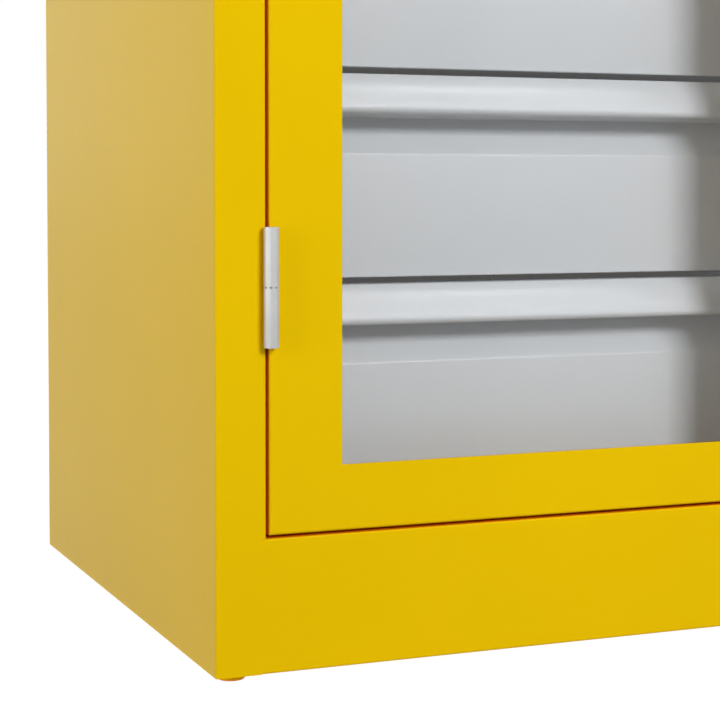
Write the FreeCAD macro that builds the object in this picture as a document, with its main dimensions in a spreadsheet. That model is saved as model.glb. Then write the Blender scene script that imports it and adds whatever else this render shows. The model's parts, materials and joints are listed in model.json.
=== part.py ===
import FreeCAD, Part
import math
import os
import re
import Sketcher

# A free-standing sheet-steel storage cabinet: a stack of drawers behind two
# inset window doors. Millimetres, +X right, +Y to the rear, +Z up. The origin
# lies on the floor under the middle of the whole cabinet with its handle.

Vector = FreeCAD.Vector

SIZES = {
    # Body
    "body_width": 930,
    "body_depth": 500,
    "total_height": 1000,
    "panel_gauge": 1.5,
    "stile_width": 35.3,
    "jamb_depth": 24,
    "stile_lip": 12,
    "seam_inset": 3,
    "rear_flange": 20,
    "rear_turn_down": 18,
    "plinth_height": 91.1,
    "plinth_return": 20,
    "header_height": 44,
    "header_return": 26,
    "header_lip": 10,
    # Rear panel beads
    "bead_width": 40,
    "bead_depth": 7,
    "bead_margin": 60,
    "bead_spacing": 250,
    # Feet
    "foot_drop": 5,
    "foot_diameter": 20,
    "foot_edge_radius": 2,
    "foot_side_inset": 16,
    "foot_front_inset": 18,
    "foot_collar": 14,
    "foot_stud": 8,
    "foot_stud_spare": 6,
    "foot_nut_flats": 13,
    "foot_nut_height": 6.5,
    "corner_plate_size": 58,
    "corner_plate_gauge": 3,
    # Doors
    "door_gap": 2.2,
    "centre_gap": 3,
    "door_depth": 20,
    "door_gauge": 1.2,
    "door_edge_radius": 2,
    "door_stile": 52.3,
    "door_rail": 45,
    "door_lip": 14,
    "pane_thickness": 4,
    "pane_overlap": 9,
    "pane_fit": 0.4,
    "retainer_gauge": 1.2,
    "retainer_border": 5,
    "retainer_setback": 1,
    # Hinges
    "hinge_reach": 5,
    "hinge_offset": 2.1,
    "hinge_margin": 166.4,
    "knuckle_flats": 9.6,
    "knuckle_length": 40,
    "knuckle_cone": 1.2,
    "hinge_play": 0.3,
    "hinge_pin": 5,
    "hinge_pin_fit": 0.05,
    "hinge_pin_grip": 34,
    "hinge_pin_reach": 30,
    "leaf_gauge": 1.3,
    "leaf_depth": 15,
    "leaf_margin": 2,
    "leaf_screw": 4,
    "leaf_screw_head": 5.6,
    "leaf_screw_length": 7,
    "leaf_screw_spread": 22,
    "leaf_screw_depth": 11,
    # Door stops
    "stop_width": 14,
    "stop_height": 12,
    "stop_gauge": 2,
    "stop_foot": 14,
    "stop_play": 0.4,
    "stop_x": 396,
    # Handle and lock
    "handle_reach": 36,
    "lock_inset": 18,
    "lock_height": 560,
    "lever_length": 104,
    "lever_width": 16,
    "lever_thickness": 9,
    "lever_tip_width": 12,
    "hub_diameter": 24,
    "spindle_diameter": 10,
    "spindle_fit": 0.3,
    "rose_width": 30,
    "rose_height": 96,
    "rose_thickness": 5,
    "rose_play": 0.3,
    "key_core": 13,
    "key_core_reach": 2,
    "key_core_drop": 30,
    "key_core_play": 0.05,
    "case_width": 30,
    "case_height": 96,
    "case_gauge": 1.2,
    "cam_diameter": 26,
    "cam_thickness": 3,
    "cam_pin": 4,
    "cam_throw": 9,
    "cam_setback": 7,
    "flag_gauge": 2.5,
    "flag_gap": 0.5,
    "flag_slot_play": 0.6,
    "flag_width": 9,
    "rod_diameter": 8,
    "rod_depth": 10,
    "rod_hole_play": 0.6,
    "rod_start": 18,
    "rod_tip_gap": 2,
    "guide_width": 22,
    "guide_height": 12,
    "guide_margin": 40,
    "guide_spread": 50,
    "guide_play": 0.3,
    "bolt_length": 110,
    "bolt_grip": 7,
    "bolt_grip_length": 14,
    # Drawers
    "deep_drawers": 5,
    "drawer_width": 730,
    "stack_top_gap": 43.4,
    "shallow_share": 0.6,
    "drawer_gap": 4.8,
    "drawer_floor_gap": 20.5,
    "drawer_recess": 65,
    "front_gauge": 1.2,
    "crown_height": 57,
    "crown_forward": 1.5,
    "crown_radius": 45,
    "lip_forward": 16,
    "lip_height": 33,
    "lip_radius": 3.6,
    "grip_depth": 21,
    "grip_height": 26.4,
    "front_turn": 14,
    "tray_gauge": 1,
    "tray_rear_gap": 11.8,
    "tray_headroom": 30.2,
    "tray_lift": 8,
    "tray_hem": 5,
    "tray_hem_drop": 6,
    # Runners
    "post_inset": 117,
    "post_width": 30,
    "post_depth": 40,
    "post_gauge": 2,
    "post_setback": 4,
    "post_rear_gap": 8,
    "runner_space": 13,
    "runner_gauge": 1.2,
    "runner_lift": 14,
    "runner_flange": 10.5,
    "runner_headroom": 1.2,
    "rail_web_drop": 20,
    "rail_front_gap": 3,
    "rail_rear_gap": 6,
    "roller_diameter": 24,
    "roller_width": 6,
    "roller_side_gap": 0.5,
    "roller_play": 0.3,
    "roller_axle": 6,
    "roller_end_inset": 16,
}

# Places and lengths worked out from the sizes.
PLACES = {
    "half_width": "body_width/2",
    "front_y": "handle_reach - (body_depth + handle_reach)/2",
    "rear_y": "front_y + body_depth",
    "rear_panel_y": "rear_y - 2*panel_gauge",
    "body_height": "total_height - foot_drop",
    "plinth_top": "foot_drop + plinth_height",
    "header_bottom": "total_height - header_height",
    "jamb_x": "half_width - stile_width",
    "seam_x": "jamb_x + seam_inset",
    "inner_x": "half_width - panel_gauge",
    "door_outer_x": "jamb_x - door_gap",
    "door_inner_x": "centre_gap/2",
    "door_bottom": "plinth_top + door_gap",
    "door_top": "header_bottom - door_gap",
    "window_outer_x": "door_outer_x - door_stile",
    "window_inner_x": "door_inner_x + door_stile",
    "window_bottom": "door_bottom + door_rail",
    "window_top": "door_top - door_rail",
    "hinge_x": "jamb_x - hinge_offset",
    "hinge_y": "front_y - hinge_reach",
    "low_hinge": "door_bottom + hinge_margin",
    "high_hinge": "door_top - hinge_margin",
    "lock_x": "door_inner_x + lock_inset",
    "rod_y": "front_y + rod_depth",
    "rod_stroke": "cam_throw*sqrt(2)",
    "front_back": "drawer_recess + grip_depth + front_gauge",
    "tray_y": "front_y + front_back",
    "tray_depth": "rear_panel_y - tray_rear_gap - tray_y",
    "post_x": "half_width - post_inset",
    "tray_x": "post_x - runner_space",
    "front_post_y": "tray_y + post_setback",
    "rear_post_y": "rear_panel_y - post_rear_gap - post_depth",
    "runner_length": "rear_post_y + post_depth - front_post_y",
    "first_drawer": "plinth_top + drawer_floor_gap",
    "drawer_pitch": "(total_height - stack_top_gap - first_drawer)/(deep_drawers + shallow_share)",
    "deep_front": "drawer_pitch - drawer_gap",
    "shallow_front": "shallow_share*drawer_pitch - drawer_gap",
    "deep_tray": "deep_front - tray_headroom",
    "shallow_tray": "shallow_front - tray_headroom",
    "track_z": "first_drawer + runner_lift",
    "roller_z": "track_z + roller_play + roller_diameter/2",
    "flange_z": "roller_z + roller_diameter/2 + roller_play",
    "channel_height": "flange_z + runner_gauge + runner_headroom - track_z",
}

doc = FreeCAD.newDocument("StorageCabinet")
sheet = doc.addObject("Spreadsheet::Sheet", "Sizes")
for row, (alias, size) in enumerate(SIZES.items(), start=1):
    sheet.set(f"A{row}", alias)
    sheet.set(f"B{row}", str(size))
    sheet.setAlias(f"B{row}", alias)
doc.recompute()

FLAT = FreeCAD.Rotation()
ACROSS = FreeCAD.Rotation(Vector(1, 1, 1), 120)
UPRIGHT = FreeCAD.Rotation(Vector(1, 1, 1), 240)
ALONG_X = Vector(1, 0, 0)
ALONG_Y = Vector(0, 1, 0)
ALONG_Z = Vector(0, 0, 1)
NODES = []


def bind(formula):
    """Spell a formula of sizes and places as an expression on the sheet."""
    def spell(match):
        word = match.group(0)
        if word in PLACES:
            return "(" + bind(PLACES[word]) + ")"
        if word in SIZES:
            return "Sizes." + word
        return word
    return re.sub(r"[a-z][a-z_]*", spell, formula)


def value(formula):
    return float(sheet.evalExpression(bind(formula)))


def tie(thing, **formulas):
    """Bind properties; a double underscore in a name stands for a dot."""
    for name, formula in formulas.items():
        thing.setExpression(name.replace("__", "."), bind(formula))
    return thing


def put(thing, x="0", y="0", z="0"):
    return tie(thing, Placement__Base__x=x, Placement__Base__y=y, Placement__Base__z=z)


def node(thing, name):
    """Name a finished sub-part; its file takes the same name."""
    thing.Label = name
    NODES.append(thing)
    return thing


# Plain solids, bound to the sheet

def block(name, x, y, z):
    """A box between three pairs of formulas."""
    solid = doc.addObject("Part::Box", name)
    put(solid, x[0], y[0], z[0])
    return tie(
        solid,
        Length=f"({x[1]}) - ({x[0]})",
        Width=f"({y[1]}) - ({y[0]})",
        Height=f"({z[1]}) - ({z[0]})",
    )


def rod(name, axis, start, diameter, length):
    """A cylinder from a start point along one of the three axes."""
    solid = doc.addObject("Part::Cylinder", name)
    solid.Placement.Rotation = FreeCAD.Rotation(ALONG_Z, axis)
    put(solid, *start)
    return tie(solid, Radius=f"({diameter})/2", Height=length)


def together(name, parts):
    """Separate solids kept side by side."""
    group = doc.addObject("Part::Compound", name)
    group.Links = parts
    return group


def fused(name, parts):
    whole = doc.addObject("Part::MultiFuse", name)
    whole.Shapes = parts
    whole.Refine = True
    return whole


def cut(name, base, tools):
    rest = doc.addObject("Part::Cut", name)
    rest.Base = base
    rest.Tool = tools[0] if len(tools) == 1 else together(name + "_cutters", tools)
    rest.Refine = True
    return rest


def mirrored(name, source):
    """The right-hand twin of a left-hand piece."""
    twin = doc.addObject("Part::Mirroring", name)
    twin.Source = source
    twin.Normal = ALONG_X
    return twin


def lifted(name, source, rise):
    """The same piece again, higher up."""
    copy = together(name, [source])
    return tie(copy, Placement__Base__z=rise)


# Folded sheet metal: the inner line of the bends, thickened outwards

def fold_line(name, turn, points):
    """An open sketch through points, each held by two bound distances."""
    sketch = doc.addObject("Sketcher::SketchObject", name)
    sketch.Placement.Rotation = turn
    spots = [Vector(value(across), value(up), 0) for across, up in points]
    for first, second in zip(spots, spots[1:]):
        sketch.addGeometry(Part.LineSegment(first, second), False)
    for line in range(len(spots) - 2):
        sketch.addConstraint(Sketcher.Constraint("Coincident", line, 2, line + 1, 1))
    for index, spot in enumerate(spots):
        line = min(index, len(spots) - 2)
        end = 1 if index == line else 2
        hold_point(sketch, line, end, spot, points[index])
    return sketch


def hold_point(sketch, line, end, spot, formulas):
    for kind, reach, formula in zip(("DistanceX", "DistanceY"), spot, formulas):
        index = sketch.addConstraint(Sketcher.Constraint(kind, -1, 1, line, end, reach))
        sketch.setExpression(f"Constraints[{index}]", bind(formula))


def thickened(name, line, gauge, direction, length):
    strip = doc.addObject("Part::Offset2D", name + "_strip")
    strip.Source = line
    strip.Mode = "Skin"
    strip.Join = "Arc"
    strip.Fill = True
    tie(strip, Value=gauge)
    plate = doc.addObject("Part::Extrusion", name)
    plate.Base = strip
    plate.DirMode = "Custom"
    plate.Dir = direction
    plate.Solid = True
    return tie(plate, LengthFwd=length)


def folded(name, turn, points, gauge, direction, length, start=("0", "0", "0")):
    """Sheet bent along points that are listed anticlockwise."""
    line = put(fold_line(name + "_bends", turn, points), *start)
    return thickened(name, line, gauge, direction, length)


# Bodies made of sketches, pads and pockets

def body_plane(body, role):
    for feature in body.Origin.OriginFeatures:
        if feature.Role == role:
            return feature


def body_sketch(body, name, role, offset="0"):
    sketch = body.newObject("Sketcher::SketchObject", name)
    sketch.AttachmentSupport = (body_plane(body, role), [""])
    sketch.MapMode = "FlatFace"
    return tie(sketch, AttachmentOffset__Base__z=offset)


def oblong(sketch, across, up):
    """A rectangle between two pairs of formulas, added to a sketch."""
    left, right = (value(formula) for formula in across)
    low, high = (value(formula) for formula in up)
    corners = [Vector(left, low), Vector(right, low), Vector(right, high), Vector(left, high)]
    first = sketch.GeometryCount
    for start, end in zip(corners, corners[1:] + corners[:1]):
        sketch.addGeometry(Part.LineSegment(start, end), False)
    for step in range(4):
        following = first + (step + 1) % 4
        sketch.addConstraint(Sketcher.Constraint("Coincident", first + step, 2, following, 1))
        level = "Horizontal" if step % 2 == 0 else "Vertical"
        sketch.addConstraint(Sketcher.Constraint(level, first + step))
    hold_point(sketch, first, 1, corners[0], (across[0], up[0]))
    hold_point(sketch, first + 1, 2, corners[2], (across[1], up[1]))
    return sketch



def feature(body, kind, name, sketch, length, backwards=False):
    made = body.newObject("PartDesign::" + kind, name)
    made.Profile = sketch
    made.Reversed = backwards
    return tie(made, Length=length)


def dress(body, kind, name, test, **sizes):
    """Round or bevel the edges of a body whose bounding box passes a test."""
    doc.recompute()
    base = body.Tip
    edges = [f"Edge{i}" for i, edge in enumerate(base.Shape.Edges, start=1)
             if test(edge.BoundBox)]
    made = body.newObject("PartDesign::" + kind, name)
    made.Base = (base, edges)
    return tie(made, **sizes)


def turned(name, outline):
    """A body revolved about its own Z axis, from radius and height formulas."""
    body = doc.addObject("PartDesign::Body", name)
    sketch = body_sketch(body, name + "_outline", "XZ_Plane")
    spots = [Vector(value(radius), value(height), 0) for radius, height in outline]
    count = len(spots)
    for index in range(count):
        end = spots[(index + 1) % count]
        sketch.addGeometry(Part.LineSegment(spots[index], end), False)
    for index in range(count):
        sketch.addConstraint(Sketcher.Constraint("Coincident", index, 2, (index + 1) % count, 1))
        hold_point(sketch, index, 1, spots[index], outline[index])
    spin = body.newObject("PartDesign::Revolution", name + "_turning")
    spin.Profile = sketch
    spin.ReferenceAxis = (sketch, ["V_Axis"])
    spin.Angle = 360
    return body


# Cabinet body

def side_panel():
    """Side, front stile and rear flange, with the jamb folded in beside the doors."""
    skin = folded(
        "left_side_skin", FLAT,
        [
            ("rear_flange - half_width", "rear_y - panel_gauge"),
            ("-inner_x", "rear_y - panel_gauge"),
            ("-inner_x", "front_y + panel_gauge"),
            ("-seam_x", "front_y + panel_gauge"),
        ],
        "panel_gauge", ALONG_Z, "body_height", ("0", "0", "foot_drop"),
    )
    jamb = folded(
        "left_jamb", FLAT,
        [
            ("-seam_x", "front_y + panel_gauge"),
            ("-jamb_x - panel_gauge", "front_y + panel_gauge"),
            ("-jamb_x - panel_gauge", "front_y + jamb_depth - panel_gauge"),
            ("-jamb_x - stile_lip", "front_y + jamb_depth - panel_gauge"),
        ],
        "panel_gauge", ALONG_Z, "header_bottom - plinth_top", ("0", "0", "plinth_top"),
    )
    return fused("left_side_blank", [skin, jamb])


def floor_panel():
    """Cabinet floor and plinth folded from one sheet."""
    sheet_metal = folded(
        "floor_fold", ACROSS,
        [
            ("rear_panel_y - panel_gauge", "plinth_top - rear_turn_down"),
            ("rear_panel_y - panel_gauge", "plinth_top - panel_gauge"),
            ("front_y + panel_gauge", "plinth_top - panel_gauge"),
            ("front_y + panel_gauge", "foot_drop + panel_gauge"),
            ("front_y + plinth_return", "foot_drop + panel_gauge"),
        ],
        "panel_gauge", ALONG_X, "2*inner_x", ("-inner_x", "0", "0"),
    )
    beside_stile = block(
        "floor_stile_notch",
        ("-half_width", "-seam_x"),
        ("front_y - panel_gauge", "front_y + panel_gauge"),
        ("0", "plinth_top + panel_gauge"),
    )
    over_foot = block(
        "floor_foot_notch",
        ("-half_width", "-seam_x"),
        ("front_y", "front_y + plinth_return + panel_gauge"),
        ("0", "foot_drop + 2*panel_gauge"),
    )
    notches = together("floor_notches", [beside_stile, over_foot])
    return cut("floor_panel", sheet_metal, [notches, mirrored("floor_notches_right", notches)]
               + rod_holes("floor", "plinth_top - 2*panel_gauge"))


def top_panel():
    """Top and header folded from one sheet."""
    sheet_metal = folded(
        "top_fold", ACROSS,
        [
            ("rear_panel_y - panel_gauge", "total_height - rear_turn_down"),
            ("rear_panel_y - panel_gauge", "total_height - panel_gauge"),
            ("front_y + panel_gauge", "total_height - panel_gauge"),
            ("front_y + panel_gauge", "header_bottom + panel_gauge"),
            ("front_y + header_return - panel_gauge", "header_bottom + panel_gauge"),
            ("front_y + header_return - panel_gauge", "header_bottom + panel_gauge + header_lip"),
        ],
        "panel_gauge", ALONG_X, "2*inner_x", ("-inner_x", "0", "0"),
    )
    notch = block(
        "top_stile_notch",
        ("-half_width", "-seam_x"),
        ("front_y - panel_gauge", "front_y + panel_gauge"),
        ("header_bottom - panel_gauge", "total_height + panel_gauge"),
    )
    return cut("top_panel", sheet_metal, [notch, mirrored("top_notch_right", notch)]
               + rod_holes("top", "header_bottom - panel_gauge"))


def rod_holes(name, low):
    """Cutters for the two holes that the lock rod and the bolt shoot into."""
    hole = rod(f"{name}_left_keeper", ALONG_Z, ("-lock_x", "rod_y", low),
               "rod_diameter + 2*rod_hole_play", "3*panel_gauge")
    return [hole, mirrored(f"{name}_right_keeper", hole)]


def rear_panel():
    """Flat sheet with three upright beads pressed inwards."""
    body = doc.addObject("PartDesign::Body", "rear_panel")
    outline = oblong(body_sketch(body, "rear_outline", "XZ_Plane"),
                     ("-inner_x", "inner_x"), ("foot_drop", "total_height"))
    feature(body, "Pad", "rear_sheet", outline, "panel_gauge")
    low = "plinth_top + bead_margin"
    high = "header_bottom - bead_margin"
    bump = oblong(body_sketch(body, "bead_outer", "XZ_Plane", "panel_gauge"),
                  ("-bead_spacing - bead_width/2", "bead_width/2 - bead_spacing"), (low, high))
    raised = feature(body, "Pad", "bead_raised", bump, "bead_depth")
    dent = oblong(body_sketch(body, "bead_inner", "XZ_Plane"),
                  ("panel_gauge - bead_spacing - bead_width/2",
                   "bead_width/2 - bead_spacing - panel_gauge"),
                  (f"{low} + panel_gauge", f"{high} - panel_gauge"))
    pressed = feature(body, "Pocket", "bead_pressed", dent, "bead_depth", True)
    row = body.newObject("PartDesign::LinearPattern", "bead_row")
    row.Originals = [raised, pressed]
    row.Direction = (bump, ["H_Axis"])
    row.Occurrences = 3
    tie(row, Length="2*bead_spacing")
    body.Tip = row
    return put(body, y="rear_y - panel_gauge")


def corner_plates():
    """Four plates welded across the inner corners of the base."""
    level = ("foot_drop + panel_gauge", "foot_drop + panel_gauge + corner_plate_gauge")
    across = ("-inner_x", "corner_plate_size - inner_x")
    front = block("front_plate", across,
                  ("front_y + panel_gauge", "front_y + panel_gauge + corner_plate_size"), level)
    rear = block("rear_plate", across, ("rear_panel_y - corner_plate_size", "rear_panel_y"), level)
    left = cut("left_plates", together("left_plate_pair", [front, rear]), foot_studs())
    return together("corner_plates", [left, mirrored("right_plates", left)])


FOOT_PLACES = {
    "front": ("foot_side_inset - half_width", "front_y + foot_front_inset"),
    "rear": ("foot_side_inset - half_width", "rear_y - foot_front_inset"),
}


def foot_studs():
    """Cutters as wide as the feet's studs."""
    return [
        rod(f"{which}_stud_hole", ALONG_Z, (x, y, "foot_drop"), "foot_stud", "corner_plate_size")
        for which, (x, y) in FOOT_PLACES.items()
    ]


def feet():
    """Button feet with a collar under the plate and a stud through it."""
    pads = []
    for which, (x, y) in FOOT_PLACES.items():
        pad = turned(f"{which}_foot_blank", [
            ("0", "0"),
            ("foot_diameter/2 - foot_edge_radius", "0"),
            ("foot_diameter/2", "foot_edge_radius"),
            ("foot_diameter/2", "foot_drop"),
            ("foot_collar/2", "foot_drop"),
            ("foot_collar/2", "foot_drop + panel_gauge"),
            ("foot_stud/2", "foot_drop + panel_gauge"),
            ("foot_stud/2", "foot_drop + panel_gauge + corner_plate_gauge + foot_nut_height"
                            " + foot_stud_spare"),
            ("0", "foot_drop + panel_gauge + corner_plate_gauge + foot_nut_height"
                  " + foot_stud_spare"),
        ])
        pads.append(put(pad, x, y))
    left = together("left_feet", pads)
    return together("feet", [left, mirrored("right_feet", left)])


def foot_nuts():
    """A hexagon nut on each foot's stud."""
    nuts = []
    for which, (x, y) in FOOT_PLACES.items():
        hexagon = doc.addObject("Part::Prism", f"{which}_nut_blank")
        hexagon.Polygon = 6
        tie(hexagon, Circumradius="foot_nut_flats/sqrt(3)", Height="foot_nut_height")
        put(hexagon, x, y, "foot_drop + panel_gauge + corner_plate_gauge")
        nuts.append(hexagon)
    left = cut("left_nuts", together("left_nut_blanks", nuts), foot_studs())
    return together("foot_nuts", [left, mirrored("right_nuts", left)])


def posts(which, low_y):
    """A pair of channel posts that carry the runners."""
    left = folded(
        f"left_{which}_post", FLAT,
        [
            ("-post_x - post_width", f"{low_y} + post_gauge"),
            ("-post_x - post_gauge", f"{low_y} + post_gauge"),
            ("-post_x - post_gauge", f"{low_y} + post_depth - post_gauge"),
            ("-post_x - post_width", f"{low_y} + post_depth - post_gauge"),
        ],
        "post_gauge", ALONG_Z, "total_height - panel_gauge - plinth_top",
        ("0", "0", "plinth_top"),
    )
    return together(f"{which}_posts", [left, mirrored(f"right_{which}_post", left)])


def door_stops():
    """Angle tabs behind the doors, on the floor and under the header."""
    stops = []
    back = "front_y + door_depth + stop_play"
    for which, base, step in (("low", "plinth_top", 1), ("high", "header_bottom", -1)):
        upright = sorted_pair(base, f"{base} + {step}*stop_height", step)
        foot = sorted_pair(base, f"{base} + {step}*stop_gauge", step)
        across = ("-stop_x - stop_width/2", "stop_width/2 - stop_x")
        tab = block(f"{which}_stop_tab", across, (back, f"{back} + stop_gauge"), upright)
        base_plate = block(f"{which}_stop_base", across, (back, f"{back} + stop_foot"), foot)
        stops.append(fused(f"{which}_stop", [tab, base_plate]))
    left = together("left_stops", stops)
    return together("door_stops", [left, mirrored("right_stops", left)])


def sorted_pair(first, second, step):
    return (first, second) if step > 0 else (second, first)


# Drawer runners

def cabinet_channel():
    """Channel on the left posts that the drawer's rear roller runs in."""
    return folded(
        "cabinet_channel", UPRIGHT,
        [
            ("track_z", "runner_flange - post_x"),
            ("track_z", "runner_gauge - post_x"),
            ("track_z + channel_height", "runner_gauge - post_x"),
            ("track_z + channel_height", "runner_flange - post_x"),
        ],
        "runner_gauge", ALONG_Y, "runner_length", ("0", "front_post_y", "0"),
    )


def drawer_rail():
    """Angle rail on the left of a drawer that rides on the cabinet's front roller."""
    return folded(
        "drawer_rail", UPRIGHT,
        [
            ("flange_z", "-tray_x - runner_flange"),
            ("flange_z", "-tray_x - runner_gauge"),
            ("flange_z - rail_web_drop", "-tray_x - runner_gauge"),
        ],
        "runner_gauge", ALONG_Y, "tray_depth - rail_front_gap - rail_rear_gap",
        ("0", "tray_y + rail_front_gap", "0"),
    )


def roller(name, x, y):
    """Plain roller on the axle of the runner beside it."""
    wheel = turned(name, [
        ("roller_axle/2", "0"),
        ("roller_diameter/2", "0"),
        ("roller_diameter/2", "roller_width"),
        ("roller_axle/2", "roller_width"),
    ])
    wheel.Placement.Rotation = FreeCAD.Rotation(ALONG_Z, ALONG_X)
    return put(wheel, x, y, "roller_z")


def with_axle(name, runner, x, y, length):
    """The runner with its riveted axle."""
    axle = rod(name + "_axle", ALONG_X, (x, y, "roller_z"), "roller_axle", length)
    return fused(name, [runner, axle])


def drawer_levels(name, source):
    """One piece for every drawer of the stack."""
    count = int(value("deep_drawers")) + 1
    return [lifted(f"{name}_{level + 1}", source, f"{level}*drawer_pitch") for level in range(count)]


def both_sides(name, left_pieces):
    left = together(name + "_left", left_pieces)
    return together(name, [left, mirrored(name + "_right", left)])


# Drawers

def front_line(name, front_height, closed=False):
    """Section of a drawer front: flat face, finger recess, rounded grip, turned edges.

    The sketch's origin lies on the crease between the face and the recess, with
    its first axis to the rear and its second up. Closed, it bounds an end cap.
    """
    sketch = doc.addObject("Sketcher::SketchObject", name)
    sketch.Placement.Rotation = ACROSS
    places = {
        "turn": ("front_turn", f"crown_height - ({front_height})"),
        "foot": ("0", f"crown_height - ({front_height})"),
        "crease": ("0", "0"),
        "grip": ("grip_depth", "grip_height"),
        "lip": ("-lip_forward", "lip_height"),
        "crown": ("-crown_forward", "crown_height"),
        "ledge": ("grip_depth + front_gauge", "crown_height"),
        "drop": ("grip_depth + front_gauge", "crown_height - front_turn"),
        "low_drop": ("grip_depth + front_gauge", "grip_height - front_turn"),
    }
    spots = {key: Vector(value(across), value(up)) for key, (across, up) in places.items()}
    lip_radius = value("lip_radius")
    crown_radius = value("crown_radius")
    chord = spots["crown"] - spots["lip"]
    sag = math.sqrt(crown_radius ** 2 - (chord.Length / 2) ** 2)
    inward = Vector(chord.y, -chord.x).normalize()
    crown_centre = (spots["crown"] + spots["lip"]) * 0.5 + inward * sag
    lip_centre = spots["lip"] + (crown_centre - spots["lip"]).normalize() * lip_radius
    reach = spots["grip"] - lip_centre
    touch_angle = math.atan2(reach.y, reach.x) - math.acos(lip_radius / reach.Length)
    touch = lip_centre + Vector(math.cos(touch_angle), math.sin(touch_angle)) * lip_radius

    def line(start, end):
        return sketch.addGeometry(Part.LineSegment(start, end), False)

    def meet(first, first_end, second, second_end, kind="Coincident"):
        sketch.addConstraint(
            Sketcher.Constraint(kind, first, first_end, second, second_end))

    base = line(spots["turn"], spots["foot"])
    face = line(spots["foot"], spots["crease"])
    recess = line(spots["crease"], spots["grip"])
    underside = line(spots["grip"], touch)
    lip = sketch.addGeometry(arc_between(lip_centre, lip_radius, touch, spots["lip"]), False)
    crown = sketch.addGeometry(
        arc_between(crown_centre, crown_radius, spots["lip"], spots["crown"]), False)
    top = line(spots["crown"], spots["ledge"])
    rear = line(spots["ledge"], spots["drop"])
    meet(base, 2, face, 1)
    meet(face, 2, recess, 1)
    meet(recess, 2, underside, 1)
    meet(underside, 2, lip, 2, "Tangent")
    meet(lip, 1, crown, 2, "Tangent")
    meet(crown, 1, top, 1)
    meet(top, 2, rear, 1)
    held = [(base, 1, "turn"), (face, 1, "foot"), (recess, 1, "crease"), (underside, 1, "grip"),
            (crown, 2, "lip"), (crown, 1, "crown"), (rear, 1, "ledge"), (rear, 2, "drop")]
    if closed:
        straight = line(spots["drop"], spots["low_drop"])
        slope = line(spots["low_drop"], spots["turn"])
        meet(rear, 2, straight, 1)
        meet(straight, 2, slope, 1)
        meet(slope, 2, base, 1)
        held.append((slope, 1, "low_drop"))
    for piece, end, key in held:
        hold_point(sketch, piece, end, spots[key], places[key])
    for arc, radius in ((lip, "lip_radius"), (crown, "crown_radius")):
        index = sketch.addConstraint(Sketcher.Constraint("Radius", arc, value(radius)))
        sketch.setExpression(f"Constraints[{index}]", bind(radius))
    return sketch


def arc_between(centre, radius, start, end):
    """The shorter arc that joins two points of a circle."""
    first = math.atan2(start.y - centre.y, start.x - centre.x)
    second = math.atan2(end.y - centre.y, end.x - centre.x)
    if (second - first) % (2 * math.pi) > math.pi:
        first, second = second, first
    return Part.ArcOfCircle(Part.Circle(centre, ALONG_Z, radius), first, second)


def drawer_front(name, front_height):
    """Folded front with an end cap at either side."""
    crease_z = f"first_drawer + ({front_height}) - crown_height"
    crease_y = "front_y + drawer_recess"
    line = put(front_line(name + "_section", front_height), "-drawer_width/2", crease_y, crease_z)
    sheet_metal = thickened(name + "_sheet", line, "front_gauge", ALONG_X, "drawer_width")
    outline = front_line(name + "_cap_outline", front_height, closed=True)
    put(outline, "-drawer_width/2", crease_y, crease_z)
    cap = doc.addObject("Part::Extrusion", name + "_left_cap")
    cap.Base = outline
    cap.DirMode = "Custom"
    cap.Dir = ALONG_X
    cap.Solid = True
    tie(cap, LengthFwd="front_gauge")
    return fused(name, [sheet_metal, cap, mirrored(name + "_right_cap", cap)])


def drawer_tray(name, tray_height):
    """Open sheet tray with the top of each side turned out and down."""
    body = doc.addObject("PartDesign::Body", name + "_pan")
    outline = oblong(body_sketch(body, name + "_outline", "XY_Plane"),
                     ("-tray_x", "tray_x"), ("0", "tray_depth"))
    feature(body, "Pad", name + "_block", outline, tray_height)
    hollow = oblong(body_sketch(body, name + "_hollow", "XY_Plane", "tray_gauge"),
                    ("tray_gauge - tray_x", "tray_x - tray_gauge"),
                    ("tray_gauge", "tray_depth - tray_gauge"))
    feature(body, "Pocket", name + "_inside", hollow, tray_height, True)
    put(body, y="tray_y", z="first_drawer + tray_lift")
    rim = f"first_drawer + tray_lift + ({tray_height})"
    hem = folded(
        name + "_hem", UPRIGHT,
        [
            (f"{rim} - tray_gauge - tray_hem_drop", "tray_gauge - tray_x - tray_hem"),
            (f"{rim} - tray_gauge", "tray_gauge - tray_x - tray_hem"),
            (f"{rim} - tray_gauge", "-tray_x"),
        ],
        "tray_gauge", ALONG_Y, "tray_depth", ("0", "tray_y", "0"),
    )
    return fused(name, [body, hem, mirrored(name + "_right_hem", hem)])


# Doors, built as the left one

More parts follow.
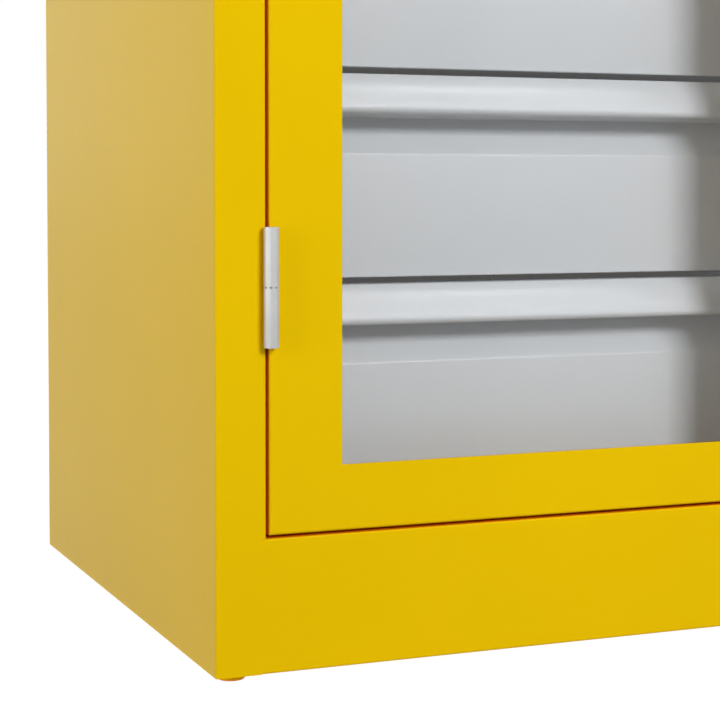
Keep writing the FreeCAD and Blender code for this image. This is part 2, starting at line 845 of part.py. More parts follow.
def door_pan():
    """Door frame: folded pan with a window cut in its face and a turned-in rear lip."""
    body = doc.addObject("PartDesign::Body", "door_pan")
    outer = ("-door_outer_x", "-door_inner_x")
    upright = ("door_bottom", "door_top")

    def inset(formulas, step):
        return (f"{formulas[0]} + {step}", f"{formulas[1]} - {step}")

    outline = oblong(body_sketch(body, "door_outline", "XZ_Plane"), outer, upright)
    feature(body, "Pad", "door_block", outline, "door_depth", True)
    gauge = value("door_gauge")
    dress(body, "Fillet", "door_edges", lambda box: box.YMax < gauge, Radius="door_edge_radius")
    cavity = oblong(body_sketch(body, "door_cavity", "XZ_Plane", "-door_gauge"),
                    inset(outer, "door_gauge"), inset(upright, "door_gauge"))
    feature(body, "Pocket", "door_hollow", cavity, "door_depth - 2*door_gauge")
    behind = oblong(body_sketch(body, "door_rear", "XZ_Plane", "door_gauge - door_depth"),
                    inset(outer, "door_lip"), inset(upright, "door_lip"))
    feature(body, "Pocket", "door_rear_opening", behind, "door_gauge")
    window = oblong(body_sketch(body, "door_window", "XZ_Plane"),
                    ("-window_outer_x", "-window_inner_x"), ("window_bottom", "window_top"))
    feature(body, "Pocket", "window_opening", window, "door_gauge")
    return put(body, y="front_y")


def window_outline(grow):
    """The window's edges, moved out by a length."""
    return (
        (f"-window_outer_x - ({grow})", f"{grow} - window_inner_x"),
        (f"window_bottom - ({grow})", f"window_top + {grow}"),
    )


def window_pane():
    across, up = window_outline("pane_overlap")
    return block("left_pane_blank", across,
                 ("front_y + door_gauge", "front_y + door_gauge + pane_thickness"), up)


def pane_retainer():
    """Rebated frame that holds the pane against the back of the door's face."""
    body = doc.addObject("PartDesign::Body", "retainer_pan")
    outline = oblong(body_sketch(body, "retainer_outline", "XZ_Plane"),
                     *window_outline("pane_overlap + retainer_border"))
    feature(body, "Pad", "retainer_block", outline, "pane_thickness + retainer_gauge", True)
    rebate = oblong(body_sketch(body, "retainer_rebate", "XZ_Plane"),
                    *window_outline("pane_overlap + pane_fit"))
    feature(body, "Pocket", "retainer_seat", rebate, "pane_thickness")
    sight = oblong(body_sketch(body, "retainer_sight", "XZ_Plane"),
                   *window_outline("retainer_setback"))
    feature(body, "Pocket", "retainer_opening", sight, "pane_thickness + retainer_gauge")
    return put(body, y="front_y + door_gauge")


# Hinges, built as the left ones

HINGES = {"low": "low_hinge", "high": "high_hinge"}
FRAME_HALF = "-knuckle_length - hinge_play/2"
DOOR_HALF = "hinge_play/2"


def knuckle(name, low):
    """Octagonal barrel with its corners cut at both ends."""
    prism = doc.addObject("Part::Prism", name + "_bar")
    prism.Polygon = 8
    prism.Placement.Rotation = FreeCAD.Rotation(ALONG_Z, 180 / 8)
    corner = f"knuckle_flats/(2*cos({180 / 8} deg))"
    tie(prism, Circumradius=corner, Height="knuckle_length")
    put(prism, "-hinge_x", "hinge_y", low)
    levels = (
        ("knuckle_flats/2", low),
        (corner, f"{low} + knuckle_cone"),
        (corner, f"{low} + knuckle_length - knuckle_cone"),
        ("knuckle_flats/2", f"{low} + knuckle_length"),
    )
    outlines = []
    for step, (reach, height) in enumerate(levels):
        outline = doc.addObject("Part::RegularPolygon", f"{name}_outline_{step}")
        outline.Polygon = 8
        tie(outline, Circumradius=f"({reach})/cos({180 / 8} deg)")
        put(outline, "-hinge_x", "hinge_y", height)
        outlines.append(outline)
    corner_cuts = doc.addObject("Part::Loft", name + "_corner_cuts")
    corner_cuts.Sections = outlines
    corner_cuts.Solid = True
    corner_cuts.Ruled = True
    barrel = doc.addObject("Part::Common", name)
    barrel.Base = prism
    barrel.Tool = corner_cuts
    return barrel


def leaf(name, across, low):
    """Flat leaf that runs from the barrel into the door gap."""
    return block(name, across, ("hinge_y + knuckle_flats/2 - leaf_gauge", "front_y + leaf_depth"),
                 (f"{low} + leaf_margin", f"{low} + knuckle_length - leaf_margin"))


def leaf_screws(name, x, direction, half):
    """Countersunk screws through the leaves into the jamb or the door's edge."""
    screws = []
    for which, centre in HINGES.items():
        for step in (-1, 1):
            screw = turned(f"{name}_{which}_{'upper' if step > 0 else 'lower'}", [
                ("0", "0"),
                ("leaf_screw_head/2", "0"),
                ("leaf_screw/2", "(leaf_screw_head - leaf_screw)/2"),
                ("leaf_screw/2", "leaf_screw_length"),
                ("0", "leaf_screw_length"),
            ])
            screw.Placement.Rotation = FreeCAD.Rotation(ALONG_Z, direction)
            middle = f"{centre} + {half} + knuckle_length/2"
            screws.append(put(screw, x, "front_y + leaf_screw_depth",
                              f"{middle} + {step}*leaf_screw_spread/2"))
    return together(name, screws)


def hinge_halves(name, half, across, bore, bore_low, bore_length, screws):
    """The two barrels with leaves of one side of the left hinges."""
    halves = []
    for which, centre in HINGES.items():
        low = f"{centre} + {half}"
        whole = fused(f"{name}_{which}_blank", [
            knuckle(f"{name}_{which}_barrel", low), leaf(f"{name}_{which}_leaf", across, low)])
        hole = rod(f"{name}_{which}_bore", ALONG_Z,
                   ("-hinge_x", "hinge_y", f"{centre} + {bore_low}"), bore, bore_length)
        halves.append(cut(f"{name}_{which}", whole, [hole, screws]))
    return together(name, halves)


def hinge_pins():
    pins = [
        rod(f"{which}_pin", ALONG_Z, ("-hinge_x", "hinge_y", f"{centre} - hinge_pin_grip"),
            "hinge_pin", "hinge_pin_grip + hinge_pin_reach")
        for which, centre in HINGES.items()
    ]
    return both_sides("hinge_pins", pins)


# Lock of the right door

def disc(name, y, diameter, length, x="lock_x", z="lock_height"):
    """A round piece on an axis that runs to the rear."""
    return rod(name, ALONG_Y, (x, y, z), diameter, length)


def handle_rose():
    """Cover plate under the handle, with rounded corners and an eased face."""
    body = doc.addObject("PartDesign::Body", "rose_blank")
    outline = oblong(body_sketch(body, "rose_outline", "XZ_Plane"),
                     ("lock_x - rose_width/2", "lock_x + rose_width/2"),
                     ("lock_height - key_core_drop/2 - rose_height/2",
                      "lock_height - key_core_drop/2 + rose_height/2"))
    feature(body, "Pad", "rose_plate", outline, "rose_thickness")
    dress(body, "Fillet", "rose_corners", lambda box: box.XLength + box.ZLength < box.YLength,
          Radius="rose_width/3")
    thickness = value("rose_thickness")
    dress(body, "Chamfer", "rose_face", lambda box: box.YMax < -thickness/2,
          Size="rose_thickness/3")
    put(body, y="front_y")
    return cut("handle_rose", body, [
        disc("rose_spindle_hole", "front_y - 2*rose_thickness",
             "spindle_diameter + 2*spindle_fit", "3*rose_thickness"),
        key_core_solid("rose_core_hole", "key_core_play"),
    ])


def key_core_solid(name, play="0"):
    """The core's own cylinder, or a cutter for the hole it turns in."""
    return disc(name, "front_y - rose_thickness - key_core_reach", f"key_core + 2*{play}",
                "rose_thickness + key_core_reach + door_gauge", z="lock_height - key_core_drop")


def key_core():
    """Round lock core with its key slot."""
    half = "key_core/12"
    slot = block("key_slot", (f"lock_x - {half}", f"lock_x + {half}"),
                 ("front_y - rose_thickness - 2*key_core_reach", "front_y - rose_thickness"),
                 ("lock_height - key_core_drop - key_core/3",
                  "lock_height - key_core_drop + key_core/3"))
    return cut("key_core", key_core_solid("key_core_blank"), [slot])


def handle():
    """Hub, spindle and a tapering lever with softened edges."""
    body = doc.addObject("PartDesign::Body", "lever_blank")
    sketch = body_sketch(body, "lever_outline", "XZ_Plane")
    places = {
        "high_root": ("0", "lever_width/2"),
        "low_root": ("0", "-lever_width/2"),
        "tip_centre": ("lever_length - lever_tip_width/2", "0"),
    }
    spots = {key: Vector(value(across), value(up)) for key, (across, up) in places.items()}
    tip_radius = value("lever_tip_width/2")
    high_tip = spots["tip_centre"] + Vector(0, tip_radius)
    low_tip = spots["tip_centre"] - Vector(0, tip_radius)
    low_side = sketch.addGeometry(Part.LineSegment(spots["low_root"], low_tip), False)
    tip = sketch.addGeometry(
        Part.ArcOfCircle(Part.Circle(spots["tip_centre"], ALONG_Z, tip_radius),
                         -math.pi / 2, math.pi / 2), False)
    high_side = sketch.addGeometry(Part.LineSegment(high_tip, spots["high_root"]), False)
    root = sketch.addGeometry(Part.LineSegment(spots["high_root"], spots["low_root"]), False)
    sketch.addConstraint(Sketcher.Constraint("Tangent", low_side, 2, tip, 1))
    sketch.addConstraint(Sketcher.Constraint("Tangent", tip, 2, high_side, 1))
    sketch.addConstraint(Sketcher.Constraint("Coincident", high_side, 2, root, 1))
    sketch.addConstraint(Sketcher.Constraint("Coincident", root, 2, low_side, 1))
    hold_point(sketch, root, 1, spots["high_root"], places["high_root"])
    hold_point(sketch, root, 2, spots["low_root"], places["low_root"])
    hold_point(sketch, tip, 3, spots["tip_centre"], places["tip_centre"])
    radius = sketch.addConstraint(Sketcher.Constraint("Radius", tip, tip_radius))
    sketch.setExpression(f"Constraints[{radius}]", bind("lever_tip_width/2"))
    feature(body, "Pad", "lever_bar", sketch, "lever_thickness", True)
    thickness = value("lever_thickness")
    dress(body, "Chamfer", "lever_softening", lambda box: box.YLength < thickness/2,
          Size="lever_thickness/4")
    put(body, "lock_x", "front_y - handle_reach", "lock_height")
    hub = turned("hub_blank", [
        ("0", "0"),
        ("hub_diameter/2 - lever_thickness/4", "0"),
        ("hub_diameter/2", "lever_thickness/4"),
        ("hub_diameter/2", "handle_reach - rose_thickness - rose_play"),
        ("spindle_diameter/2", "handle_reach - rose_thickness - rose_play"),
        ("spindle_diameter/2", "handle_reach + cam_setback + cam_thickness"),
        ("0", "handle_reach + cam_setback + cam_thickness"),
    ])
    hub.Placement.Rotation = FreeCAD.Rotation(ALONG_Z, ALONG_Y)
    put(hub, "lock_x", "front_y - handle_reach", "lock_height")
    return fused("handle", [body, hub])


def cam():
    """Disc on the spindle with two pins that drive the rods."""
    wheel = disc("cam_disc", "front_y + cam_setback", "cam_diameter", "cam_thickness")
    pins = [
        disc(f"cam_pin_{which}", "front_y + cam_setback", "cam_pin",
             "cam_thickness + 2*flag_gap + flag_gauge",
             f"lock_x + {side}*rod_stroke/2", f"lock_height + {side}*rod_stroke/2")
        for which, side in (("left", -1), ("right", 1))
    ]
    hole = disc("cam_hole", "front_y", "spindle_diameter", "door_depth")
    return cut("lock_cam", fused("cam_blank", [wheel] + pins), [hole])


def lock_rod(name, side):
    """Round rod with a flat hook at its inner end; side is 1 above the cam, -1 below."""
    start = f"lock_height + {side}*rod_start"
    tip = "door_top - rod_tip_gap" if side > 0 else "door_bottom + rod_tip_gap"
    low, high = sorted_pair(start, tip, side)
    shaft = rod(name + "_shaft", ALONG_Z, ("lock_x", "rod_y", low), "rod_diameter",
                f"({high}) - ({low})")
    thin = ("front_y + cam_setback + cam_thickness + flag_gap",
            "front_y + cam_setback + cam_thickness + flag_gap + flag_gauge")
    outer = f"lock_x - {side}*(cam_throw + cam_pin)"
    inner = f"lock_x - {side}*(cam_throw + cam_pin - flag_width)"
    beyond = f"lock_height - {side}*(cam_throw + cam_pin)"
    bridge = f"lock_height + {side}*(rod_start + flag_width)"
    flag = block(name + "_flag", sorted_pair(outer, inner, side), thin,
                 sorted_pair(beyond, bridge, side))
    foot = block(name + "_bridge", sorted_pair(outer, "lock_x", side), thin,
                 sorted_pair(start, bridge, side))
    pin_z = f"lock_height - {side}*rod_stroke/2"
    slot_back = f"lock_x - {side}*(cam_throw + cam_pin/2 + flag_slot_play/2)"
    half_slot = "cam_pin/2 + flag_slot_play"
    slot = block(name + "_slot", sorted_pair(slot_back, "lock_x", side),
                 ("front_y", "front_y + door_depth"),
                 (f"{pin_z} - ({half_slot})", f"{pin_z} + {half_slot}"))
    return cut(name, fused(name + "_blank", [shaft, flag, foot]), [slot])


def lock_case():
    """Folded box over the cam, open towards the door's face."""
    body = doc.addObject("PartDesign::Body", "lock_case_pan")
    across = ("lock_x - case_width/2", "lock_x + case_width/2")
    up = ("lock_height - case_height/2", "lock_height + case_height/2")
    outline = oblong(body_sketch(body, "case_outline", "XZ_Plane"), across, up)
    feature(body, "Pad", "case_block", outline, "door_depth - 2*door_gauge", True)
    inside = oblong(body_sketch(body, "case_inside", "XZ_Plane"),
                    (f"{across[0]} + case_gauge", f"{across[1]} - case_gauge"),
                    (f"{up[0]} + case_gauge", f"{up[1]} - case_gauge"))
    feature(body, "Pocket", "case_hollow", inside, "door_depth - 2*door_gauge - case_gauge")
    put(body, y="front_y + door_gauge")
    passage = rod("case_rod_holes", ALONG_Z, ("lock_x", "rod_y", f"{up[0]} - case_gauge"),
                  "rod_diameter + 2*rod_hole_play", "case_height + 2*case_gauge")
    return cut("lock_case", body, [passage])


def rod_guides(name):
    """Bored blocks behind the free stile of the left door."""
    guides = []
    for end, base, step in (("top", "door_top", -1), ("bottom", "door_bottom", 1)):
        for which, share in (("outer", 0), ("inner", 1)):
            middle = f"{base} + {step}*(guide_margin + {share}*guide_spread)"
            guide = block(f"{name}_{end}_{which}_blank",
                          ("-lock_x - guide_width/2", "guide_width/2 - lock_x"),
                          ("front_y + door_gauge", "front_y + door_depth - door_gauge"),
                          (f"{middle} - guide_height/2", f"{middle} + guide_height/2"))
            guides.append(guide)
    bore = rod(f"{name}_bore", ALONG_Z, ("-lock_x", "rod_y", "door_bottom"),
               "rod_diameter + 2*guide_play", "door_top - door_bottom")
    return cut(name, together(name + "_blanks", guides), [bore])


def slide_bolt(name, base, step):
    """Round bolt of the left door with a finger grip between its guides."""
    tip = f"{base} - {step}*rod_tip_gap"
    inner = f"{base} - {step}*(rod_tip_gap + bolt_length)"
    low, high = sorted_pair(inner, tip, step)
    shaft = rod(name + "_shaft", ALONG_Z, ("-lock_x", "rod_y", low), "rod_diameter",
                f"({high}) - ({low})")
    grip_z = f"{base} - {step}*(guide_margin + guide_spread/2)"
    grip = disc(name + "_grip", "rod_y", "bolt_grip", "bolt_grip_length", "-lock_x", grip_z)
    return fused(name, [shaft, grip])


def door_rod_holes():
    """Cutter through the door's top and bottom edges for the rod or the bolts."""
    return rod("door_rod_passage", ALONG_Z, ("-lock_x", "rod_y", "door_bottom - door_gap"),
               "rod_diameter + 2*rod_hole_play", "door_top - door_bottom + 2*door_gap")


def build():
    """Make every sub-part and list the finished ones in NODES."""
    side = side_panel()
    frame_screws = leaf_screws("frame_screws", "leaf_gauge - jamb_x", -ALONG_X, FRAME_HALF)
    door_screws = leaf_screws("door_screws", "-door_outer_x - leaf_gauge", ALONG_X, DOOR_HALF)
    left_side = node(cut("left_side_panel", side, [frame_screws]), "left_side_panel")
    node(mirrored("right_side_panel", left_side), "right_side_panel")
    node(rear_panel(), "rear_panel")
    node(floor_panel(), "floor_panel")
    node(top_panel(), "top_panel")
    node(corner_plates(), "corner_plates")
    node(feet(), "feet")
    node(foot_nuts(), "foot_nuts")
    node(door_stops(), "door_stops")
    node(posts("front", "front_post_y"), "front_posts")
    node(posts("rear", "rear_post_y"), "rear_posts")

    node(both_sides("frame_hinge_screws", [frame_screws]), "frame_hinge_screws")
    frame_leaf = ("-jamb_x", "leaf_gauge - jamb_x")
    frame_halves = hinge_halves("frame_half", FRAME_HALF, frame_leaf, "hinge_pin",
                                "-hinge_pin_grip", "2*hinge_pin_grip", frame_screws)
    node(both_sides("frame_hinge_halves", [frame_halves]), "frame_hinge_halves")
    node(hinge_pins(), "hinge_pins")

    front_roller_y = "front_post_y + roller_end_inset"
    channel = with_axle("channel_runner", cabinet_channel(), "-post_x", front_roller_y,
                        "runner_gauge + roller_width + 2*roller_side_gap")
    node(both_sides("cabinet_runners", drawer_levels("channel", channel)), "cabinet_runners")
    front_roller = roller("front_wheel", "runner_gauge + roller_side_gap - post_x",
                          front_roller_y)
    node(both_sides("cabinet_rollers", drawer_levels("roller", front_roller)), "cabinet_rollers")

    doors(door_screws)
    drawers()


def doors(screws):
    """Both doors: the left with slide bolts, the right with the handle and lock rods."""
    pan = cut("door_pan_bored", door_pan(), [screws, door_rod_holes()])
    pane = window_pane()
    retainer = pane_retainer()
    door_leaf = ("-door_outer_x - leaf_gauge", "-door_outer_x")
    halves = hinge_halves("door_half", DOOR_HALF, door_leaf, "hinge_pin + 2*hinge_pin_fit",
                          "0", "hinge_pin_reach + hinge_play", screws)
    guides = rod_guides("guide_blocks")
    left_pieces = {
        "door_frame": pan, "door_pane": pane, "pane_retainer": retainer,
        "door_hinge_halves": halves, "door_hinge_screws": screws, "rod_guides": guides,
    }
    for name, piece in left_pieces.items():
        node(together(f"left_{name}", [piece]), f"left_{name}")
    node(slide_bolt("left_top_bolt", "door_top", 1), "left_top_bolt")
    node(slide_bolt("left_bottom_bolt", "door_bottom", -1), "left_bottom_bolt")

    right_pan = cut("right_door_frame", mirrored("right_pan", pan), [
        disc("door_spindle_hole", "front_y - door_gauge", "spindle_diameter + 2*spindle_fit",
             "3*door_gauge"),
        key_core_solid("door_core_hole", "key_core_play"),
    ])
    node(right_pan, "right_door_frame")
    for name, piece in left_pieces.items():
        if name != "door_frame":
            node(mirrored(f"right_{name}", piece), f"right_{name}")
    node(handle_rose(), "handle_rose")
    node(key_core(), "key_core")
    node(handle(), "handle")
    node(cam(), "lock_cam")
    node(lock_case(), "lock_case")
    node(lock_rod("upper_lock_rod", 1), "upper_lock_rod")
    node(lock_rod("lower_lock_rod", -1), "lower_lock_rod")


def drawers():
    """Deep drawers from the bottom up and a shallow one on top."""
    rear_roller_y = "tray_y + tray_depth - rail_rear_gap - roller_end_inset"
    wheel_x = "-tray_x - runner_gauge - roller_side_gap - roller_width"
    rail = with_axle("rail_runner", drawer_rail(), f"{wheel_x} - roller_side_gap", rear_roller_y,
                     "roller_width + 2*roller_side_gap + runner_gauge")
    runners = both_sides("drawer_runner_set",
                         [rail, roller("rear_wheel", wheel_x, rear_roller_y)])
    deep = (drawer_front("deep_front_panel", "deep_front"),
            drawer_tray("deep_tray_box", "deep_tray"))
    shallow = (drawer_front("shallow_front_panel", "shallow_front"),
               drawer_tray("shallow_tray_box", "shallow_tray"))
    count = int(value("deep_drawers"))
    for level in range(count + 1):
        front, tray = deep if level < count else shallow
        name = f"drawer_{level + 1}"
        rise = f"{level}*drawer_pitch"
        node(lifted(f"{name}_front", front, rise), f"{name}_front")
        node(lifted(f"{name}_tray", tray, rise), f"{name}_tray")
        node(lifted(f"{name}_runners", runners, rise), f"{name}_runners")


def write_parts():
    """Check every object, then write one file for each sub-part."""
    doc.recompute()
    for thing in doc.Objects:
        if "Invalid" in thing.State or "Error" in thing.State:
            raise RuntimeError(f"{thing.Name} failed: {thing.State}")
    for piece in NODES:
        if piece.Shape.isNull() or not piece.Shape.isValid() or not piece.Shape.Solids:
            raise RuntimeError(f"{piece.Label} has no valid shape")
    os.makedirs("parts", exist_ok=True)
    for piece in NODES:
        piece.Shape.exportStep(f"parts/{piece.Label}.step")
        print(piece.Label, len(piece.Shape.Solids), round(piece.Shape.Volume, 1))


if __name__ == "__main__":
    build()
    write_parts()
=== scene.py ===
import json
import math

import bmesh
import bpy
from mathutils import Matrix, Vector


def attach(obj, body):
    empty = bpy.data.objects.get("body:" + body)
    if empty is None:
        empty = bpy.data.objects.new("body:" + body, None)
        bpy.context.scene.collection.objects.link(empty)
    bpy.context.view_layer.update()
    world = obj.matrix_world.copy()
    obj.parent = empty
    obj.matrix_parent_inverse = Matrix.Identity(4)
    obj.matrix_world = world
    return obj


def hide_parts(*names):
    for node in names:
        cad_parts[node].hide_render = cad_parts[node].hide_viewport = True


bl_info = {
    "name": "Window-door storage cabinet",
    "version": (1, 0, 0),
    "blender": (4, 5, 0),
    "location": "View3D > Sidebar > Cabinet",
    "description": "Finishes, hardware, light and camera for the sheet-steel drawer cabinet",
    "category": "Object",
}

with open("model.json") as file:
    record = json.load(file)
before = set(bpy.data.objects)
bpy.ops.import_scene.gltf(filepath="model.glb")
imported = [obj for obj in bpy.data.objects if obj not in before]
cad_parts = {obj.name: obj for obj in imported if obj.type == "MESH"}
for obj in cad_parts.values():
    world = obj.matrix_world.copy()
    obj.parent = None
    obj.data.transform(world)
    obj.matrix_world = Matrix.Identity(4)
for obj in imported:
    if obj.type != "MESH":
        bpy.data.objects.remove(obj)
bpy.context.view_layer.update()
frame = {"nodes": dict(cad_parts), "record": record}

MM = 0.001
SIDES = {"left": -1, "right": 1}
DRAWERS = range(1, 7)


def linear(hex_colour):
    """Turn an sRGB hex colour into linear red, green, blue and alpha."""
    channels = [int(hex_colour[i:i + 2], 16) / 255 for i in (1, 3, 5)]
    return tuple(
        c / 12.92 if c <= 0.04045 else ((c + 0.055) / 1.055) ** 2.4 for c in channels
    ) + (1.0,)


def size(name, description, default):
    """A length property in metres, given in millimetres."""
    return bpy.props.FloatProperty(
        name=name, description=description, default=default * MM, min=0, subtype="DISTANCE",
        unit="LENGTH", precision=5)


def colour(name, description, hex_colour):
    """A colour property, given as an sRGB hex colour."""
    return bpy.props.FloatVectorProperty(
        name=name, description=description, default=linear(hex_colour), size=4, min=0, max=1,
        subtype="COLOR")


class CabinetColours(bpy.types.PropertyGroup):
    coat_yellow: colour("Body coat", "Powder coat of the body and the doors", "#e2ba00")
    coat_grey: colour("Drawer coat", "Powder coat of the drawers and posts", "#bdc1c5")
    zinc: colour("Zinc", "Plated hinges, runners, rods and screws", "#c5c5c6")
    nylon: colour("Nylon", "Black handle, rose and rod guides", "#191a1b")
    roller: colour("Rollers", "Natural white roller plastic", "#e4e3dc")
    nickel: colour("Key core", "Polished nickel of the key core", "#cfcdc8")
    pane: colour("Pane", "Tint of the clear pane", "#fdfdfd")
    floor: colour("Floor", "Plain floor under the cabinet", "#ebebeb")


class CabinetSizes(bpy.types.PropertyGroup):
    edge: size("Softened edge", "Edge radius of small metal pieces", 0.25)
    knuckle_flats: size("Barrel flats", "Octagonal hinge barrel across its flats", 9.6)
    knuckle_length: size("Barrel half", "Length of one half of a hinge barrel", 40)
    knuckle_corner: size("Corner cut", "Corner cut at the ends of a barrel half", 1.2)
    screw_head: size("Screw head", "Diameter of a countersunk hinge screw", 5.6)
    roller: size("Roller", "Diameter of a runner's roller", 24)
    roller_width: size("Roller width", "Width of a runner's roller", 6)
    key_core: size("Key core", "Diameter of the lock's key core", 13)


# Places in the frame, in millimetres

FRONT = -232.0
FEET = ((-449, -214), (-449, 250), (449, -214), (449, 250))
HINGE_X, HINGE_Y = 427.6, FRONT - 5
HINGE_HEIGHTS = (264.7, 787.4)
JAMB_X, DOOR_EDGE_X = 429.7, 427.5
HINGE_PLAY = 0.05
LEAF_GAUGE, LEAF_DEPTH, LEAF_MARGIN = 1.3, 15, 2
SCREW_DEPTH, SCREW_STEP = 11, 11
LOCK_X, LOCK_Z, PLATE_Z, KEY_Z = 19.5, 560, 545, 530
HUB_FRONT = FRONT - 36
ROLLER_Z, PITCH = 142.9, 150
CABINET_ROLLER, DRAWER_ROLLER, DRAWER_AXLE = (-346.3, -124.8), (-342.7, 231.2), (-336.2, 231.2)
TRAY_X, FLANGE_Z = 335, 155.2
GRIP_Y, GRIP_Z = -167, 204.8
FRONT_WIDTH, FRONT_HEIGHT, SHALLOW_HEIGHT = 730, 145.2, 85.2


# Finishes

def add_node(tree, kind, settings=(), values=(), links=()):
    """Add one shader node with its settings, plain values and incoming links."""
    node = tree.nodes.new(kind)
    for name, setting in dict(settings).items():
        setattr(node, name, setting)
    for socket, number in dict(values).items():
        node.inputs[socket].default_value = number
    for socket, source in dict(links).items():
        tree.links.new(source, node.inputs[socket])
    return node


def new_finish(name):
    """An empty node material and its output node."""
    finish = bpy.data.materials.new(name)
    finish.use_nodes = True
    finish.node_tree.nodes.clear()
    return finish, finish.node_tree, add_node(finish.node_tree, "ShaderNodeOutputMaterial")


# Every opaque finish: the colour property it takes, the width in millimetres of
# its fine and its broad pattern, how far the broad one darkens it, its range of
# roughness, the height of the fine pattern, plain values of its surface, and the
# colour of the painted shade in its narrow gaps and corners, if it has one.
SURFACES = {
    # Baked polyester powder: even satin colour, a fine orange peel 2 mm wide,
    # and a clear skin that mirrors a bright room only at a grazing glance.
    # Its last colour, #f08000, is painted shade: gaps and corners are tinted orange-brown.
    "body_paint": ("yellow powder coat", "coat_yellow", 2.0, 140, 0.03, (0.31, 0.37), 0.001,
                   {"IOR": 1.5, "Specular IOR Level": 0.05}, "#f08000"),
    "drawer_paint": ("grey powder coat", "coat_grey", 2.0, 140, 0.03, (0.28, 0.33), 0.001,
                     {"IOR": 1.5, "Specular IOR Level": 0.4}),
    # Barrel-plated zinc: pale matt grain with soft clouds from the bath, under a
    # dull chromate film that hides most of the metal's mirror.
    "zinc_steel": ("zinc plated steel", "zinc", 0.8, 9, 0.05, (0.52, 0.62), 0.002,
                   {"Metallic": 0.4, "Specular IOR Level": 0.1}),
    # Nylon keeps the spark-eroded grain of its mould, so its sheen is broken up.
    "black_plastic": ("black moulded nylon", "nylon", 0.9, 30, 0.08, (0.42, 0.5), 0.005,
                      {"IOR": 1.53}),
    "roller_plastic": ("white moulded nylon", "roller", 1.2, 12, 0.05, (0.35, 0.43), 0.003,
                       {"IOR": 1.53}),
    # Nickel on brass, faced on a lathe: bright, with faint turning marks.
    "bright_metal": ("nickel plated brass", "nickel", 0.5, 6, 0.05, (0.18, 0.26), 0.001,
                     {"Metallic": 1.0}),
}


def opaque(label, tint, fine, broad, shade, roughness, height, skin_values, painted_gap_shade=None):
    """A finish whose colour, gloss and surface all vary a little, as its table row says, with
    painted shade in narrow gaps and corners when the row gives it a shade colour.
    """
    finish, tree, output = new_finish(label)
    base = tuple(getattr(bpy.context.scene.cabinet_colours, tint))
    where = add_node(tree, "ShaderNodeTexCoord")
    grain, cloud = (
        add_node(tree, "ShaderNodeTexNoise", values={"Scale": 1 / (width * MM), "Detail": 2},
                 links={"Vector": where.outputs["Object"]})
        for width in (fine, broad)
    )
    depth = add_node(tree, "ShaderNodeMapRange", values={"From Min": 0.3, "From Max": 0.7},
                     links={"Value": cloud.outputs[0]})
    # A colour mix takes its share at socket 0 and its two colours at 6 and 7.
    dark = tuple(c * (1 - shade) for c in base[:3]) + (1.0,)
    shaded = add_node(tree, "ShaderNodeMix", {"data_type": "RGBA"}, {6: dark, 7: base},
                      {0: depth.outputs[0]})
    if painted_gap_shade:
        # Painted shade: where ambient occlusion finds other surfaces within 7 mm, in door gaps,
        # corners and beside the hinge barrels, the colour is blended towards a deeper orange,
        # standing in for light bounced between the walls.
        gap_occlusion = add_node(tree, "ShaderNodeAmbientOcclusion", {"samples": 4},
                         {"Distance": 7 * MM})
        opened = add_node(tree, "ShaderNodeMapRange",
                          values={"From Min": 0.15, "From Max": 0.6},
                          links={"Value": gap_occlusion.outputs["AO"]})
        shaded = add_node(tree, "ShaderNodeMix", {"data_type": "RGBA"}, {6: linear(painted_gap_shade)},
                          {0: opened.outputs[0], 7: shaded.outputs[2]})
    gloss = add_node(tree, "ShaderNodeMapRange",
                     values={"From Min": 0.3, "From Max": 0.7, "To Min": roughness[0],
                             "To Max": roughness[1]},
                     links={"Value": grain.outputs[0]})
    bump = add_node(tree, "ShaderNodeBump", values={"Strength": 1.0, "Distance": height * MM},
                    links={"Height": grain.outputs[0]})
    skin = add_node(tree, "ShaderNodeBsdfPrincipled", values=skin_values,
                    links={"Base Color": shaded.outputs[2], "Roughness": gloss.outputs[0],
                           "Normal": bump.outputs["Normal"]})
    tree.links.new(skin.outputs["BSDF"], output.inputs["Surface"])
    return finish


def clear_sheet():
    """Clear acrylic sheet: lets the lamps through, mirrors the room faintly."""
    finish, tree, output = new_finish("clear acrylic sheet")
    tint = tuple(bpy.context.scene.cabinet_colours.pane)
    sheet = add_node(tree, "ShaderNodeBsdfPrincipled",
                     values={"Base Color": tint, "IOR": 1.49, "Roughness": 0.0,
                             "Transmission Weight": 1.0})
    hole = add_node(tree, "ShaderNodeBsdfTransparent", values={"Color": tint})
    path = add_node(tree, "ShaderNodeLightPath")
    lamp = add_node(tree, "ShaderNodeMath", {"operation": "MAXIMUM"},
                    links={0: path.outputs["Is Shadow Ray"], 1: path.outputs["Is Diffuse Ray"]})
    both = add_node(tree, "ShaderNodeMixShader",
                    links={0: lamp.outputs[0], 1: sheet.outputs[0], 2: hole.outputs[0]})
    tree.links.new(both.outputs[0], output.inputs["Surface"])
    return finish


def finishes():
    """The finish of every material slot, made once."""
    made = {
        slot: bpy.data.materials.get(row[0]) or opaque(*row) for slot, row in SURFACES.items()
    }
    made["clear_pane"] = bpy.data.materials.get("clear acrylic sheet") or clear_sheet()
    return made


# Meshes

def piece(name, bm, body, slot, stands_for=()):
    """Make a finished piece from a bmesh, in place, riding on its body."""
    bmesh.ops.remove_doubles(bm, verts=bm.verts, dist=1e-6)
    bmesh.ops.recalc_face_normals(bm, faces=bm.faces)
    mesh = bpy.data.meshes.new(name)
    bm.to_mesh(mesh)
    bm.free()
    mesh.shade_smooth()
    mesh.set_sharp_from_angle(angle=math.radians(32))
    made = bpy.data.objects.new(name, mesh)
    bpy.context.scene.collection.objects.link(made)
    made.data.materials.append(finishes()[slot])
    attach(made, body)
    if stands_for:
        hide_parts(*stands_for)
    return made


